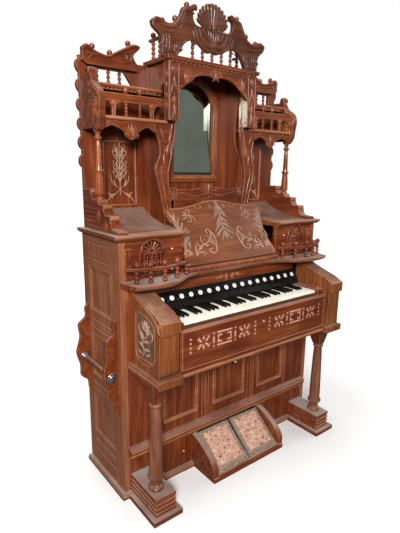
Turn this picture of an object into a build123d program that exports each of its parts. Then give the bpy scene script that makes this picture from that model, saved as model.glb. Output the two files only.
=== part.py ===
"""High-top parlour reed organ of carved walnut.

Millimetres, +Z up. The origin is on the floor, at the middle of the outer box.
The player sits on the -Y side. The organ is the same left and right of x = 0,
apart from the pattern of the sharp keys. Depths are counted from the case front,
and heights build up from the plinths to the case top and from there to the crest.
"""
from build123d import *
from math import cos, radians, sin, tan
import os

os.makedirs("parts", exist_ok=True)

# Keyboard, which sets the width of the case
natural_count = 36
natural_pitch = 23.4
natural_gap = 1.0
keys_half = natural_count * natural_pitch / 2
block_w = 48.8           # blocks at both ends of the keys
arm_w = 90
arm_inset = 42           # from the outside of the arms to the outside of the case
arm_inner = keys_half + block_w
arm_outer = arm_inner + arm_w
case_half = arm_outer + arm_inset

# Depth of the case and reach of the arms
case_depth = 350         # from the case front to the back boards
arm_reach = 241          # from the case front to the noses of the arms
case_front = (arm_reach - case_depth) / 2
case_back = case_front + case_depth

# Boards
side_t = 25
front_t = 20
back_t = 12
inner_half = case_half - side_t
seat_gap = 0.3           # running clearance of what moves or rests loosely

# Heights of the lower case
base_h = 22
plinth_top_z = 105
column_h = 400
console_h = 100
arm_foot_z = plinth_top_z + column_h + console_h
arm_foot_t = 32
arm_h = 355
arm_top_z = arm_foot_z + arm_h
keys_rise = 225
natural_top_z = arm_foot_z + keys_rise
shelf_t = 20
shelf_clear = 7
shelf_z = arm_top_z + shelf_clear + shelf_t
case_top_t = 22
upper_h = 185
case_top_z = shelf_z + upper_h

# Music desk
desk_t = 18
desk_foot = 20           # how far its foot stands forward of the case front
desk_run = 166
desk_rise = 245
desk_foot_rise = 30
desk_foot_z = shelf_z + desk_foot_rise
desk_length = (desk_run ** 2 + desk_rise ** 2) ** 0.5
desk_clear = 6

# High top
centre_half = 250        # over the walls of the centre box
board_t = 20
board_plane = case_depth - board_t   # front of the backboard, behind the case front
tier_depth = 140
leg_plane = board_plane - tier_depth # front of the legs of the centre box
canopy_over = 40
centre_reach = leg_plane - canopy_over
console_inset = 27       # from the stepped consoles' middle to the outside of the case
console_x = case_half - console_inset
desk_head_half = centre_half + 38
desk_foot_half = centre_half + 20
well_half = desk_head_half + desk_clear
high_top_h = 716
cornice_z = case_top_z + high_top_h
cornice_t = 17
crest_foot_z = cornice_z + cornice_t
crest_h = 260
shell_top_z = crest_foot_z + crest_h


def front_plane(y):
    """Plane for outlines in X and Z at depth y, facing the player."""
    return Plane.XZ.offset(-y)


def side_plane(x):
    """Plane for outlines in Y and Z at the distance x from the middle."""
    return Plane.YZ.offset(x)


def board(x0, x1, y0, y1, z0, z1, mode=Mode.ADD):
    """Rectangular board between two opposite corners."""
    with Locations(((x0 + x1) / 2, (y0 + y1) / 2, (z0 + z1) / 2)):
        Box(abs(x1 - x0), abs(y1 - y0), abs(z1 - z0), mode=mode)


def turning(x, y, z, outline):
    """Turned piece on a vertical axis: outline holds (height, radius) from the foot up."""
    plane = Plane(origin=(x, y, z), x_dir=(1, 0, 0), z_dir=(0, -1, 0))
    top = outline[-1][0]
    foot = outline[0][0]
    with BuildSketch(plane) as profile:
        with BuildLine():
            Polyline((0, foot), *[(radius, height) for height, radius in outline], (0, top), (0, foot))
        make_face()
    revolve(profile.sketch, axis=Axis((x, y, z), (0, 0, 1)))


def beads(height, count, waist, swell):
    """Outline of a spindle of equal beads, up to a height."""
    pitch = height / count
    outline = [(0, waist)]
    for bead in range(count):
        outline += [((bead + 0.35) * pitch, swell), ((bead + 0.65) * pitch, swell),
                    ((bead + 1) * pitch, waist)]
    return outline


def ball(radius):
    """Outline of a ball on a short neck."""
    return ((0, radius * 0.45), (radius * 0.6, radius * 0.9), (radius * 1.4, radius * 0.9),
            (radius * 2, radius * 0.2))


finial = ball(13)


# Base board with its moulded edge
base_proud = 20
with BuildPart() as base_moulding:
    board(-case_half - base_proud, case_half + base_proud, case_front - base_proud, case_back, 0, base_h)
    rim = base_moulding.faces().sort_by(Axis.Z)[-1].edges().sort_by(Axis.Y)[:-1]
    chamfer(rim, length=base_h * 0.35)
base_moulding.part.label = "base_moulding"
export_step(base_moulding.part, "parts/base_moulding.step")


# Side frames: two stiles with three sunk panels, and rails with sunk lines
stile_front = 80
stile_back = 63
panel_sunk = 8
panel_bevel = 40         # slope of the edge round a sunk panel, in degrees
side_top_z = case_top_z - case_top_t
panel_spans = ((187, 376), (490, 685), (806, 1004))
rail_lines = (89, 144, 416, 449, 725, 763, 1042, 1112)
line_w = 5
line_sunk = 3


def case_side(hand):
    """One side frame of the case; hand is -1 on the left and +1 on the right."""
    y_mid = case_front + (stile_front + case_depth - stile_back) / 2
    width = case_depth - stile_front - stile_back
    with BuildPart() as frame:
        board(hand * inner_half, hand * case_half, case_front, case_back, base_h, side_top_z)
        with BuildSketch(side_plane(hand * case_half)):
            for low, high in panel_spans:
                with Locations((y_mid, (low + high) / 2)):
                    Rectangle(width, high - low)
        extrude(amount=-hand * panel_sunk, taper=panel_bevel, mode=Mode.SUBTRACT)
        with BuildSketch(side_plane(hand * case_half)):
            for height in rail_lines:
                with Locations((y_mid, height)):
                    Rectangle(width, line_w)
        extrude(amount=-hand * line_sunk, mode=Mode.SUBTRACT)
    return frame


left_side = case_side(-1)
left_side.part.label = "left_side"
export_step(left_side.part, "parts/left_side.step")

right_side = case_side(1)
right_side.part.label = "right_side"
export_step(right_side.part, "parts/right_side.step")


# Back boards: upright planks between the side frames
plank_count = 8
plank_groove = 4
with BuildPart() as back_boards:
    board(-inner_half, inner_half, case_back - back_t, case_back, base_h, side_top_z)
    with BuildSketch(front_plane(case_back)):
        with Locations((0, (base_h + side_top_z) / 2)):
            with GridLocations(2 * inner_half / plank_count, 1, plank_count - 1, 1):
                Rectangle(plank_groove, side_top_z - base_h)
    extrude(amount=plank_groove, mode=Mode.SUBTRACT)
back_boards.part.label = "back_boards"
export_step(back_boards.part, "parts/back_boards.step")


# Kneeboard with three sunk panels, paired beads between them and the waist moulding
waist_z = 184
waist_h = 54
waist_proud = 25
knee_panel_low = waist_z + 106
knee_panel_high = arm_foot_z - 20
knee_middle_half = 100
knee_side_inner = 205
knee_side_outer = inner_half - 185
knee_beads = (133, 172)
bead_w = 7
with BuildPart() as kneeboard:
    board(-inner_half, inner_half, case_front, case_front + front_t, waist_z, arm_foot_z)
    with BuildSketch(front_plane(case_front)):
        with Locations((0, (knee_panel_low + knee_panel_high) / 2)):
            Rectangle(2 * knee_middle_half, knee_panel_high - knee_panel_low)
        for hand in (-1, 1):
            with Locations((hand * (knee_side_inner + knee_side_outer) / 2,
                            (knee_panel_low + knee_panel_high) / 2)):
                Rectangle(knee_side_outer - knee_side_inner, knee_panel_high - knee_panel_low)
    extrude(amount=-panel_sunk, taper=panel_bevel, mode=Mode.SUBTRACT)
    with BuildSketch(Plane.XY.offset(waist_z + waist_h)):
        for hand in (-1, 1):
            for x in knee_beads:
                with Locations((hand * x, case_front)):
                    Circle(bead_w / 2)
    extrude(amount=arm_foot_z - waist_z - waist_h)
    with BuildSketch(side_plane(-inner_half)):
        with BuildLine():
            foot = Line((case_front, waist_z), (case_front - waist_proud * 0.45, waist_z))
            lower = Line(foot @ 1, (case_front - waist_proud * 0.45, waist_z + waist_h * 0.25))
            swell = ThreePointArc(lower @ 1, (case_front - waist_proud * 0.8, waist_z + waist_h * 0.32),
                                  (case_front - waist_proud, waist_z + waist_h * 0.5))
            nose = Line(swell @ 1, (case_front - waist_proud, waist_z + waist_h * 0.78))
            step = Line(nose @ 1, (case_front - waist_proud * 0.6, waist_z + waist_h * 0.78))
            hollow = ThreePointArc(step @ 1, (case_front - waist_proud * 0.35, waist_z + waist_h * 0.85),
                                   (case_front, waist_z + waist_h))
            Line(hollow @ 1, foot @ 0)
        make_face()
    extrude(amount=2 * inner_half)
kneeboard.part.label = "kneeboard"
export_step(kneeboard.part, "parts/kneeboard.step")


# Lower front boards on both sides of the pedal opening
cheek_inner = 205
cheek_outer = 234
with BuildPart() as lower_front:
    board(cheek_inner, inner_half, case_front, case_front + front_t, base_h, waist_z)
    mirror(about=Plane.YZ)
lower_front.part.label = "lower_front"
export_step(lower_front.part, "parts/lower_front.step")


# Pedal box: bottom board with a hollow nose for the pedals, and two swept cheeks
box_reach = 178
cheek_back_z = 165
cheek_front_z = 62
cheek_reach = 173
pedal_length = 204
pedal_t = 12
pedal_rise = 38.4        # slope of a pedal at rest, in degrees
pedal_axis_z = base_h + 12
pedal_axis_y = case_front - 160
pedal_nose_r = 8
with BuildPart() as pedal_box:
    board(-cheek_outer, cheek_outer, case_front - box_reach, case_front - base_proud, 0, base_h)
    with BuildSketch(side_plane(cheek_inner)):
        with BuildLine():
            foot = Polyline((case_front, base_h), (case_front - cheek_reach, base_h),
                            (case_front - cheek_reach, cheek_front_z))
            crown = Spline((case_front - cheek_reach, cheek_front_z),
                           (case_front - cheek_reach * 0.9, cheek_front_z + 28),
                           (case_front - cheek_reach * 0.52, cheek_back_z - 27),
                           (case_front - cheek_reach * 0.17, cheek_back_z),
                           (case_front, cheek_back_z + 6))
            Line(crown @ 1, foot @ 0)
        make_face()
    extrude(amount=cheek_outer - cheek_inner)
    mirror(about=Plane.YZ)
    board(-cheek_inner, cheek_inner, case_front - box_reach, pedal_axis_y, base_h, pedal_axis_z)
    with Locations(Location((0, pedal_axis_y, pedal_axis_z), (0, 90, 0))):
        Cylinder(pedal_nose_r + seat_gap, 2 * cheek_inner, mode=Mode.SUBTRACT)
pedal_box.part.label = "pedal_box"
export_step(pedal_box.part, "parts/pedal_box.step")


# Pedals: boards with a round nose that turns in the hollow of the pedal box
pedal_inner = 8
pedal_outer = cheek_inner - 9


def pedal(hand):
    """One blow pedal at rest; hand is -1 on the left and +1 on the right."""
    slope = Plane(origin=(0, pedal_axis_y, pedal_axis_z), x_dir=(1, 0, 0),
                  z_dir=(0, -sin(radians(pedal_rise)), cos(radians(pedal_rise))))
    middle = hand * (pedal_inner + pedal_outer) / 2
    with BuildPart() as tread:
        with BuildSketch(slope.offset(-pedal_t / 2)):
            with Locations((middle, pedal_length / 2)):
                Rectangle(pedal_outer - pedal_inner, pedal_length)
        extrude(amount=pedal_t)
        with Locations(Location((middle, pedal_axis_y, pedal_axis_z), (0, 90, 0))):
            Cylinder(pedal_nose_r, pedal_outer - pedal_inner)
    return tread


left_pedal = pedal(-1)
left_pedal.part.label = "left_pedal"
export_step(left_pedal.part, "parts/left_pedal.step")

right_pedal = pedal(1)
right_pedal.part.label = "right_pedal"
export_step(right_pedal.part, "parts/right_pedal.step")


# Plinth blocks under the columns, with flutes on the front and the outer side
plinth_outer = arm_outer + 12
plinth_w = 100
plinth_inner = plinth_outer - plinth_w
plinth_reach = 208
plinth_foot = 21
flute_count = 3
flute_w = 12
flute_sunk = 4
plinth_front = case_front - plinth_reach
with BuildPart() as plinth_blocks:
    board(plinth_inner, plinth_outer, plinth_front, case_front, base_h, plinth_top_z)
    board(plinth_inner - plinth_foot, plinth_outer + plinth_foot, plinth_front - plinth_foot,
          case_front - base_proud, 0, base_h)
    flute_pitch = (plinth_top_z - base_h) / (flute_count + 1)
    for step in range(1, flute_count + 1):
        z = base_h + step * flute_pitch
        board(plinth_outer - flute_sunk, plinth_outer, plinth_front, case_front,
              z - flute_w / 2, z + flute_w / 2, mode=Mode.SUBTRACT)
        board(plinth_inner, plinth_outer, plinth_front, plinth_front + flute_sunk,
              z - flute_w / 2, z + flute_w / 2, mode=Mode.SUBTRACT)
    mirror(about=Plane.YZ)
plinth_blocks.part.label = "plinth_blocks"
export_step(plinth_blocks.part, "parts/plinth_blocks.step")


# Turned columns
column_x = arm_outer - 32
column_y = case_front - 140
column_top_z = plinth_top_z + column_h
column_outline = ((0, 33), (11, 33), (17, 26), (23, 20), (34, 23), (52, 29), (55, 35), (65, 35),
                  (68, 29), (365, 22), (381, 21), (385, 27), (394, 27), (column_h, 20))
with BuildPart() as columns:
    turning(column_x, column_y, plinth_top_z, column_outline)
    mirror(about=Plane.YZ)
columns.part.label = "columns"
export_step(columns.part, "parts/columns.step")


# Consoles between the columns and the arms
console_foot = 44
console_head = 96
abacus_t = 18
console_mid_x = column_x - 8
abacus_z = arm_foot_z - abacus_t
with BuildPart() as arm_consoles:
    with BuildSketch(Plane.XY.offset(column_top_z)):
        with Locations((column_x, column_y)):
            Rectangle(console_foot, console_foot)
    with BuildSketch(Plane.XY.offset(abacus_z)):
        with Locations((console_mid_x, column_y)):
            Rectangle(console_head - 12, console_head - 12)
    loft()
    board(console_mid_x - console_head / 2, console_mid_x + console_head / 2,
          column_y - console_head / 2, column_y + console_head / 2, abacus_z, arm_foot_z)
    mirror(about=Plane.YZ)
arm_consoles.part.label = "arm_consoles"
export_step(arm_consoles.part, "parts/arm_consoles.step")


# Arms beside the keyboard, with rounded noses and sunk panels on the outside
arm_base_z = arm_foot_z + arm_foot_t
arm_lip = 14
arm_face = 225           # front of an arm below its nose
nose_low_z = arm_foot_z + 205
nose_fillet = 30
arm_panel_sunk = 6


def arm(hand):
    """One arm; hand is -1 on the left and +1 on the right."""
    with BuildPart() as cheek:
        with BuildSketch(side_plane(hand * arm_inner)):
            with BuildLine():
                Polyline((case_front, arm_base_z), (case_front - arm_face, arm_base_z),
                         (case_front - arm_face, nose_low_z), (case_front - arm_reach, nose_low_z + 12),
                         (case_front - arm_reach, arm_top_z - 92), (case_front - 190, arm_top_z - 66),
                         (case_front - 113, arm_top_z - 43), (case_front, arm_top_z), close=True)
            make_face()
            fillet(vertices().sort_by(Axis.Y)[0:2].sort_by(Axis.Z)[-1], radius=nose_fillet)
        extrude(amount=hand * arm_w)
        with BuildSketch(side_plane(hand * arm_outer)):
            with BuildLine():
                straight = Polyline((case_front - 50, arm_top_z - 85), (case_front - 50, arm_base_z + 48),
                                    (case_front - 178, arm_base_z + 48), (case_front - 192, arm_top_z - 135))
                Spline(straight @ 1, (case_front - 165, arm_top_z - 104), (case_front - 110, arm_top_z - 85),
                       straight @ 0)
            make_face()
        extrude(amount=-hand * arm_panel_sunk, mode=Mode.SUBTRACT)
        board(hand * (arm_inner - arm_lip), hand * (arm_outer + arm_lip), case_front - arm_reach,
              case_front, arm_foot_z, arm_base_z)
    return cheek


left_arm = arm(-1)
left_arm.part.label = "left_arm"
export_step(left_arm.part, "parts/left_arm.step")

right_arm = arm(1)
right_arm.part.label = "right_arm"
export_step(right_arm.part, "parts/right_arm.step")


# Key bed between the arms
fret_front = 215
fret_t = 14
key_bed_half = arm_inner - arm_lip
key_bed_low_z = arm_foot_z + 6
key_frame_z = natural_top_z - 34
fret_y = case_front - fret_front
with BuildPart() as key_bed:
    board(-key_bed_half, key_bed_half, fret_y + fret_t, case_front, key_bed_low_z, key_frame_z)
key_bed.part.label = "key_bed"
export_step(key_bed.part, "parts/key_bed.step")


# Front board of the key bed with two pierced fretwork panels
ledge_z = natural_top_z - 17
fret_z = key_bed_low_z + 130.5
fret_centre = key_bed_half - 230
fret_field_half = 42     # half the width of a panel's middle field
fret_slit_x = 60         # slits beside the middle field
fret_round_x = 114       # roundels
fret_petals = 6
fret_end_x = 180         # columns of small squares
fret_row = 28            # rows of slots above and below the middle
fret_bar = 7


def fret_holes():
    """Holes of one pierced panel round its own middle."""
    with GridLocations(1, 2 * fret_row, 1, 2):
        Rectangle(2 * fret_field_half, fret_bar)
    with GridLocations(2 * fret_slit_x, 2 * fret_row, 2, 2):
        Rectangle(1.3 * fret_bar, fret_bar)
    for hand in (-1, 1):
        with Locations((hand * (fret_field_half - fret_bar), 0)):
            Rectangle(fret_bar, fret_row + fret_bar)
        with GridLocations(1, fret_row, 1, 2):
            with Locations((hand * fret_field_half * 0.6, 0)):
                Rectangle(3 * fret_bar, fret_bar)
        with Locations((hand * fret_slit_x, 0)):
            Polygon((0, 19), (5, 7), (5, -7), (0, -19), (-5, -7), (-5, 7), align=None)
        with Locations((hand * fret_round_x, 0)):
            with PolarLocations(19, fret_petals, start_angle=90):
                Polygon((-12, 0), (2, 6), (12, 0), (2, -6), align=None)
        for rise in (-1, 1):
            for side in (-1, 1):
                with Locations((hand * fret_round_x + side * fret_row * 1.1, rise * fret_row * 0.9)):
                    Polygon((0, 0), (-side * 14, 0), (0, -rise * 14), align=None)
        with Locations((hand * fret_end_x, 0)):
            with GridLocations(1, fret_row * 2 / 3, 1, 4):
                Rectangle(1.3 * fret_bar, 1.3 * fret_bar)


with BuildPart() as fret_panel:
    board(-key_bed_half, key_bed_half, fret_y, fret_y + fret_t, key_bed_low_z, ledge_z)
    with BuildSketch(front_plane(fret_y)):
        with Locations((-fret_centre, fret_z), (fret_centre, fret_z)):
            fret_holes()
    extrude(amount=-fret_t, mode=Mode.SUBTRACT)
fret_panel.part.label = "fret_panel"
export_step(fret_panel.part, "parts/fret_panel.step")


# Keyboard: naturals on their key frame, F to F
key_front = 173          # front of the naturals, forward of the case front
key_rear = 30            # where the naturals go under the stop board
natural_t = 14
sharp_w = 11
sharp_h = 11
sharp_front = 124
sharp_taper = 7
# steps of the scale that carry a sharp to their right, counted from F
sharp_after = (0, 1, 2, 4, 5)
with BuildPart() as white_keys:
    board(-keys_half, keys_half, case_front - key_front + 6, case_front - key_rear, key_frame_z,
          natural_top_z - natural_t)
    with BuildSketch(Plane.XY.offset(natural_top_z)):
        with Locations((0, case_front - (key_front + key_rear) / 2)):
            with GridLocations(natural_pitch, 1, natural_count, 1):
                Rectangle(natural_pitch - natural_gap, key_front - key_rear)
    extrude(amount=-natural_t)
white_keys.part.label = "white_keys"
export_step(white_keys.part, "parts/white_keys.step")

with BuildPart() as black_keys:
    with BuildSketch(Plane.XY.offset(natural_top_z)):
        for natural in range(natural_count - 1):
            if natural % 7 in sharp_after:
                with Locations((-keys_half + (natural + 1) * natural_pitch,
                                case_front - (sharp_front + key_rear) / 2)):
                    Rectangle(sharp_w, sharp_front - key_rear)
    extrude(amount=sharp_h, taper=sharp_taper)
black_keys.part.label = "black_keys"
export_step(black_keys.part, "parts/black_keys.step")


# Blocks at both ends of the keyboard
block_reach = 190
block_top_z = natural_top_z + 6
block_gap = 1
with BuildPart() as key_blocks:
    board(keys_half + block_gap, arm_inner, case_front - block_reach, case_front - key_rear,
          key_frame_z, block_top_z)
    mirror(about=Plane.YZ)
key_blocks.part.label = "key_blocks"
export_step(key_blocks.part, "parts/key_blocks.step")


# Sloping stop board, with a hole for each stop
stop_count = 17
stop_pitch = 51.9
stop_tilt = 35           # lean of the stop board from the vertical, in degrees
stop_lean = Vector(0, -cos(radians(stop_tilt)), sin(radians(stop_tilt)))
stop_board_t = 16
stop_foot_y = case_front - key_rear
stop_foot_z = natural_top_z + 3
stop_centre_z = stop_foot_z + 41
stop_head_z = stop_centre_z + 31
stop_head_y = stop_foot_y + (stop_head_z - stop_foot_z) * tan(radians(stop_tilt))
stop_centre_y = stop_foot_y + (stop_centre_z - stop_foot_z) * tan(radians(stop_tilt))
stop_board_deep = stop_board_t / cos(radians(stop_tilt))
stop_rod_r = 6
stop_rod_gap = 0.5
stop_rod_in = 12


def stop_x(index):
    """Distance of a stop from the middle."""
    return (index - (stop_count - 1) / 2) * stop_pitch


with BuildPart() as stop_board:
    with BuildSketch(side_plane(-arm_inner)):
        with BuildLine():
            Polyline((stop_foot_y, stop_foot_z), (stop_head_y, stop_head_z),
                     (stop_head_y + stop_board_deep, stop_head_z),
                     (stop_foot_y + stop_board_deep, stop_foot_z), close=True)
        make_face()
    extrude(amount=2 * arm_inner)
    for index in range(stop_count):
        hole = Plane(origin=(stop_x(index), stop_centre_y, stop_centre_z), x_dir=(1, 0, 0), z_dir=stop_lean)
        with Locations(hole.location):
            Cylinder(stop_rod_r + stop_rod_gap, 4 * stop_board_t, mode=Mode.SUBTRACT)
stop_board.part.label = "stop_board"
export_step(stop_board.part, "parts/stop_board.step")


# Drawstops: rod, turned head and round face
collar_r = 14
face_r = 12
collar_l = 16
face_l = 8
for index in range(stop_count):
    axis_plane = Plane(origin=(stop_x(index), stop_centre_y, stop_centre_z), x_dir=(1, 0, 0), z_dir=stop_lean)
    with BuildPart() as stop:
        with BuildSketch(axis_plane.offset(-stop_board_t - stop_rod_in)):
            Circle(stop_rod_r)
        extrude(amount=stop_board_t + stop_rod_in + seat_gap)
        with BuildSketch(axis_plane.offset(seat_gap)):
            Circle(collar_r)
        extrude(amount=collar_l)
        with BuildSketch(axis_plane.offset(seat_gap + collar_l)):
            Circle(face_r)
        extrude(amount=face_l)
    stop.part.label = f"stop_{index + 1:02d}"
    export_step(stop.part, f"parts/stop_{index + 1:02d}.step")


# Board between the stops and the gallery shelf
name_board_t = 16
name_cove = 30
name_cove_z = stop_head_z + 35
with BuildPart() as name_board:
    with BuildSketch(side_plane(-arm_inner)):
        with BuildLine():
            front = Line((stop_head_y, stop_head_z), (stop_head_y, name_cove_z))
            hollow = ThreePointArc(front @ 1, (stop_head_y - name_cove * 0.3, name_cove_z + 12),
                                   (stop_head_y - name_cove, shelf_z - shelf_t - 6))
            Polyline(hollow @ 1, (stop_head_y - name_cove, shelf_z - shelf_t),
                     (stop_head_y + name_board_t, shelf_z - shelf_t),
                     (stop_head_y + name_board_t, stop_head_z), front @ 0)
        make_face()
    extrude(amount=2 * arm_inner)
name_board.part.label = "name_board"
export_step(name_board.part, "parts/name_board.step")


# Gallery shelf with its serpentine front edge, moulded underneath
shelf_end_x = case_half - 1
shelf_corner_x = case_half - 19
shelf_bow = 119          # reach of the shelf in front of the galleries
shelf_mid = 22           # and in front of the music desk
shelf_moulding = 7
shelf_curve = ((shelf_corner_x, shelf_bow * 0.88), (arm_outer - 45, shelf_bow),
               (keys_half - 29, shelf_bow * 0.91), (well_half, shelf_bow * 0.42),
               (centre_half - 62, shelf_mid))
with BuildPart() as gallery_shelf:
    with BuildSketch(Plane.XY.offset(shelf_z - shelf_t)):
        with BuildLine():
            edge = Spline(*[(x, case_front - forward) for x, forward in shelf_curve],
                          (0, case_front - shelf_mid - 6),
                          *[(-x, case_front - forward) for x, forward in reversed(shelf_curve)])
            Polyline(edge @ 1, (-shelf_end_x, case_front - 17), (-shelf_end_x, case_front),
                     (-inner_half, case_front), (-inner_half, case_front + front_t + 14),
                     (inner_half, case_front + front_t + 14), (inner_half, case_front),
                     (shelf_end_x, case_front), (shelf_end_x, case_front - 17), edge @ 0)
        make_face()
    extrude(amount=shelf_t)
    chamfer(gallery_shelf.edges().filter_by(GeomType.BSPLINE).sort_by(Axis.Z)[0], length=shelf_moulding)
gallery_shelf.part.label = "gallery_shelf"
export_step(gallery_shelf.part, "parts/gallery_shelf.step")


# Galleries: spindles of three beads under a curved rail, each with a ball on top
gallery_rail_z = shelf_z + 50
gallery_rail_t = 12
gallery_posts = ((arm_outer, 63), (arm_outer - 55, 80), (arm_outer - 119, 85), (arm_outer - 188, 71),
                 (well_half + 11, 44))
rail_w = 14
spindle = beads(gallery_rail_z - shelf_z, 3, 5, 9.5)
with BuildPart() as galleries:
    with BuildSketch(Plane.XY.offset(gallery_rail_z)):
        with BuildLine():
            outer = Spline((arm_outer + 32, case_front - 32),
                           *[(x, case_front - forward - rail_w / 2) for x, forward in gallery_posts],
                           (well_half - 9, case_front - 30 - rail_w / 2))
            inner = Spline((arm_outer + 20, case_front - 24),
                           *[(x, case_front - forward + rail_w / 2) for x, forward in gallery_posts],
                           (well_half - 9, case_front - 30 + rail_w / 2))
            Line(outer @ 1, inner @ 1)
            Line(inner @ 0, outer @ 0)
        make_face()
    extrude(amount=gallery_rail_t)
    for x, forward in gallery_posts:
        turning(x, case_front - forward, shelf_z, spindle)
        turning(x, case_front - forward, gallery_rail_z + gallery_rail_t, finial)
    mirror(about=Plane.YZ)
galleries.part.label = "galleries"
export_step(galleries.part, "parts/galleries.step")


# Front of the upper case, with an arched opening near each end and a well for the music desk
desk_ledge_z = desk_foot_z - desk_t * desk_run / desk_length - seat_gap
desk_ledge_reach = 28
desk_ledge_round = 0.4   # radius of its nose, as a share of its height
arch_r = 55
arch_x = arm_outer - 113
arch_spring_z = shelf_z + 107
arch_low_z = shelf_z + 15
arch_head_r = arch_r * 0.9
archivolt_w = 6
archivolt_proud = 5
strip_w = 31
strip_x = case_half - 44.5
with BuildPart() as upper_front:
    board(-inner_half, inner_half, case_front, case_front + front_t, shelf_z, side_top_z)
    board(-well_half, well_half, case_front, case_front + front_t, desk_ledge_z, case_top_z,
          mode=Mode.SUBTRACT)
    board(-well_half, well_half, case_front - desk_ledge_reach, case_front, shelf_z, desk_ledge_z)
    fillet(upper_front.edges().filter_by(Axis.X).sort_by(Axis.Y)[0:2],
           radius=(desk_ledge_z - shelf_z) * desk_ledge_round)
    for hand in (-1, 1):
        board(hand * strip_x - strip_w / 2, hand * strip_x + strip_w / 2, case_front - 6, case_front,
              shelf_z, side_top_z - 33)
        with BuildSketch(front_plane(case_front)):
            with Locations((hand * arch_x, arch_spring_z)):
                Circle(arch_head_r + archivolt_w)
            with Locations((hand * arch_x, (shelf_z + arch_spring_z) / 2)):
                Rectangle(2 * (arch_r + archivolt_w), arch_spring_z - shelf_z)
        extrude(amount=archivolt_proud)
        with BuildSketch(front_plane(case_front - archivolt_proud)):
            with Locations((hand * arch_x, (arch_low_z + arch_spring_z) / 2)):
                Rectangle(2 * arch_r, arch_spring_z - arch_low_z)
            with Locations((hand * arch_x, arch_spring_z)):
                Circle(arch_head_r)
        extrude(amount=-front_t - archivolt_proud, mode=Mode.SUBTRACT)
upper_front.part.label = "upper_front"
export_step(upper_front.part, "parts/upper_front.step")


# Grilles in the arched openings: a rayed head over two rows of short bars
grille_t = 8
grille_lap = 5           # how far a grille reaches behind the edge of its opening
ray_count = 7
ray_w = 5
hub_r = 13
bar_count = 5
grille_rail_w = 7
row_h = (arch_spring_z - arch_low_z - 2 * grille_rail_w) / 2
ray_hole_outer = arch_head_r - 3
with BuildPart() as arch_grilles:
    for hand in (-1, 1):
        with BuildSketch(front_plane(case_front + front_t)):
            with Locations((hand * arch_x, (arch_low_z + arch_spring_z) / 2)):
                Rectangle(2 * (arch_r + grille_lap), arch_spring_z - arch_low_z + 2 * grille_lap)
            with Locations((hand * arch_x, arch_spring_z)):
                Circle(arch_head_r + grille_lap)
        extrude(amount=-grille_t)
        with BuildSketch(front_plane(case_front + front_t)):
            with Locations((hand * arch_x, arch_spring_z)):
                with PolarLocations((hub_r + ray_hole_outer) / 2, ray_count, start_angle=90 / ray_count,
                                    angular_range=180):
                    Trapezoid((2 * ray_hole_outer * sin(radians(90 / ray_count)) - ray_w),
                              ray_hole_outer - hub_r, 90 - 90 / ray_count, rotation=-90)
            for row in range(2):
                with Locations((hand * arch_x, arch_low_z + row_h / 2 + row * (row_h + grille_rail_w))):
                    with GridLocations(2 * arch_r / bar_count, 1, bar_count, 1):
                        Rectangle(2 * arch_r / bar_count - grille_rail_w, row_h)
        extrude(amount=-grille_t, mode=Mode.SUBTRACT)
arch_grilles.part.label = "arch_grilles"
export_step(arch_grilles.part, "parts/arch_grilles.step")


# Case top with a moulded edge, cut back round the music desk
top_proud = 22
well_back = (desk_run * (case_top_z - desk_foot_z) / desk_rise - desk_foot
             + desk_t * desk_length / desk_rise + desk_clear)
with BuildPart() as case_top:
    board(-case_half - top_proud, case_half + top_proud, case_front - top_proud, case_back,
          side_top_z, case_top_z)
    under = case_top.faces().sort_by(Axis.Z)[0].edges()
    chamfer(under.sort_by(Axis.Y)[:-1], length=case_top_t * 0.5)
    board(-well_half, well_half, case_front - top_proud, case_front + well_back,
          side_top_z, case_top_z, mode=Mode.SUBTRACT)
case_top.part.label = "case_top"
export_step(case_top.part, "parts/case_top.step")


# Music desk: leaning board with shaped sides and a swept head
desk_head_rise = 26      # how far the middle of the head rises over its corners
with BuildPart() as music_desk:
    desk_plane = Plane(origin=(0, case_front - desk_foot, desk_foot_z), x_dir=(1, 0, 0),
                       z_dir=(0, -desk_rise, desk_run))
    with BuildSketch(desk_plane):
        with BuildLine():
            right = Spline((desk_foot_half, 0), (desk_foot_half + 12, desk_length * 0.12),
                           (desk_foot_half - 22, desk_length * 0.45), (desk_head_half, desk_length * 0.93),
                           (desk_head_half - 15, desk_length * 0.97))
            Spline((desk_head_half - 15, desk_length * 0.97), (desk_head_half * 0.55, desk_length),
                   (0, desk_length + desk_head_rise), (-desk_head_half * 0.55, desk_length),
                   (-desk_head_half + 15, desk_length * 0.97))
            left = Spline((-desk_head_half + 15, desk_length * 0.97), (-desk_head_half, desk_length * 0.93),
                          (-desk_foot_half + 22, desk_length * 0.45),
                          (-desk_foot_half - 12, desk_length * 0.12), (-desk_foot_half, 0))
            Line(left @ 1, right @ 0)
        make_face()
    extrude(amount=-desk_t)
music_desk.part.label = "music_desk"
export_step(music_desk.part, "parts/music_desk.step")


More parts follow.
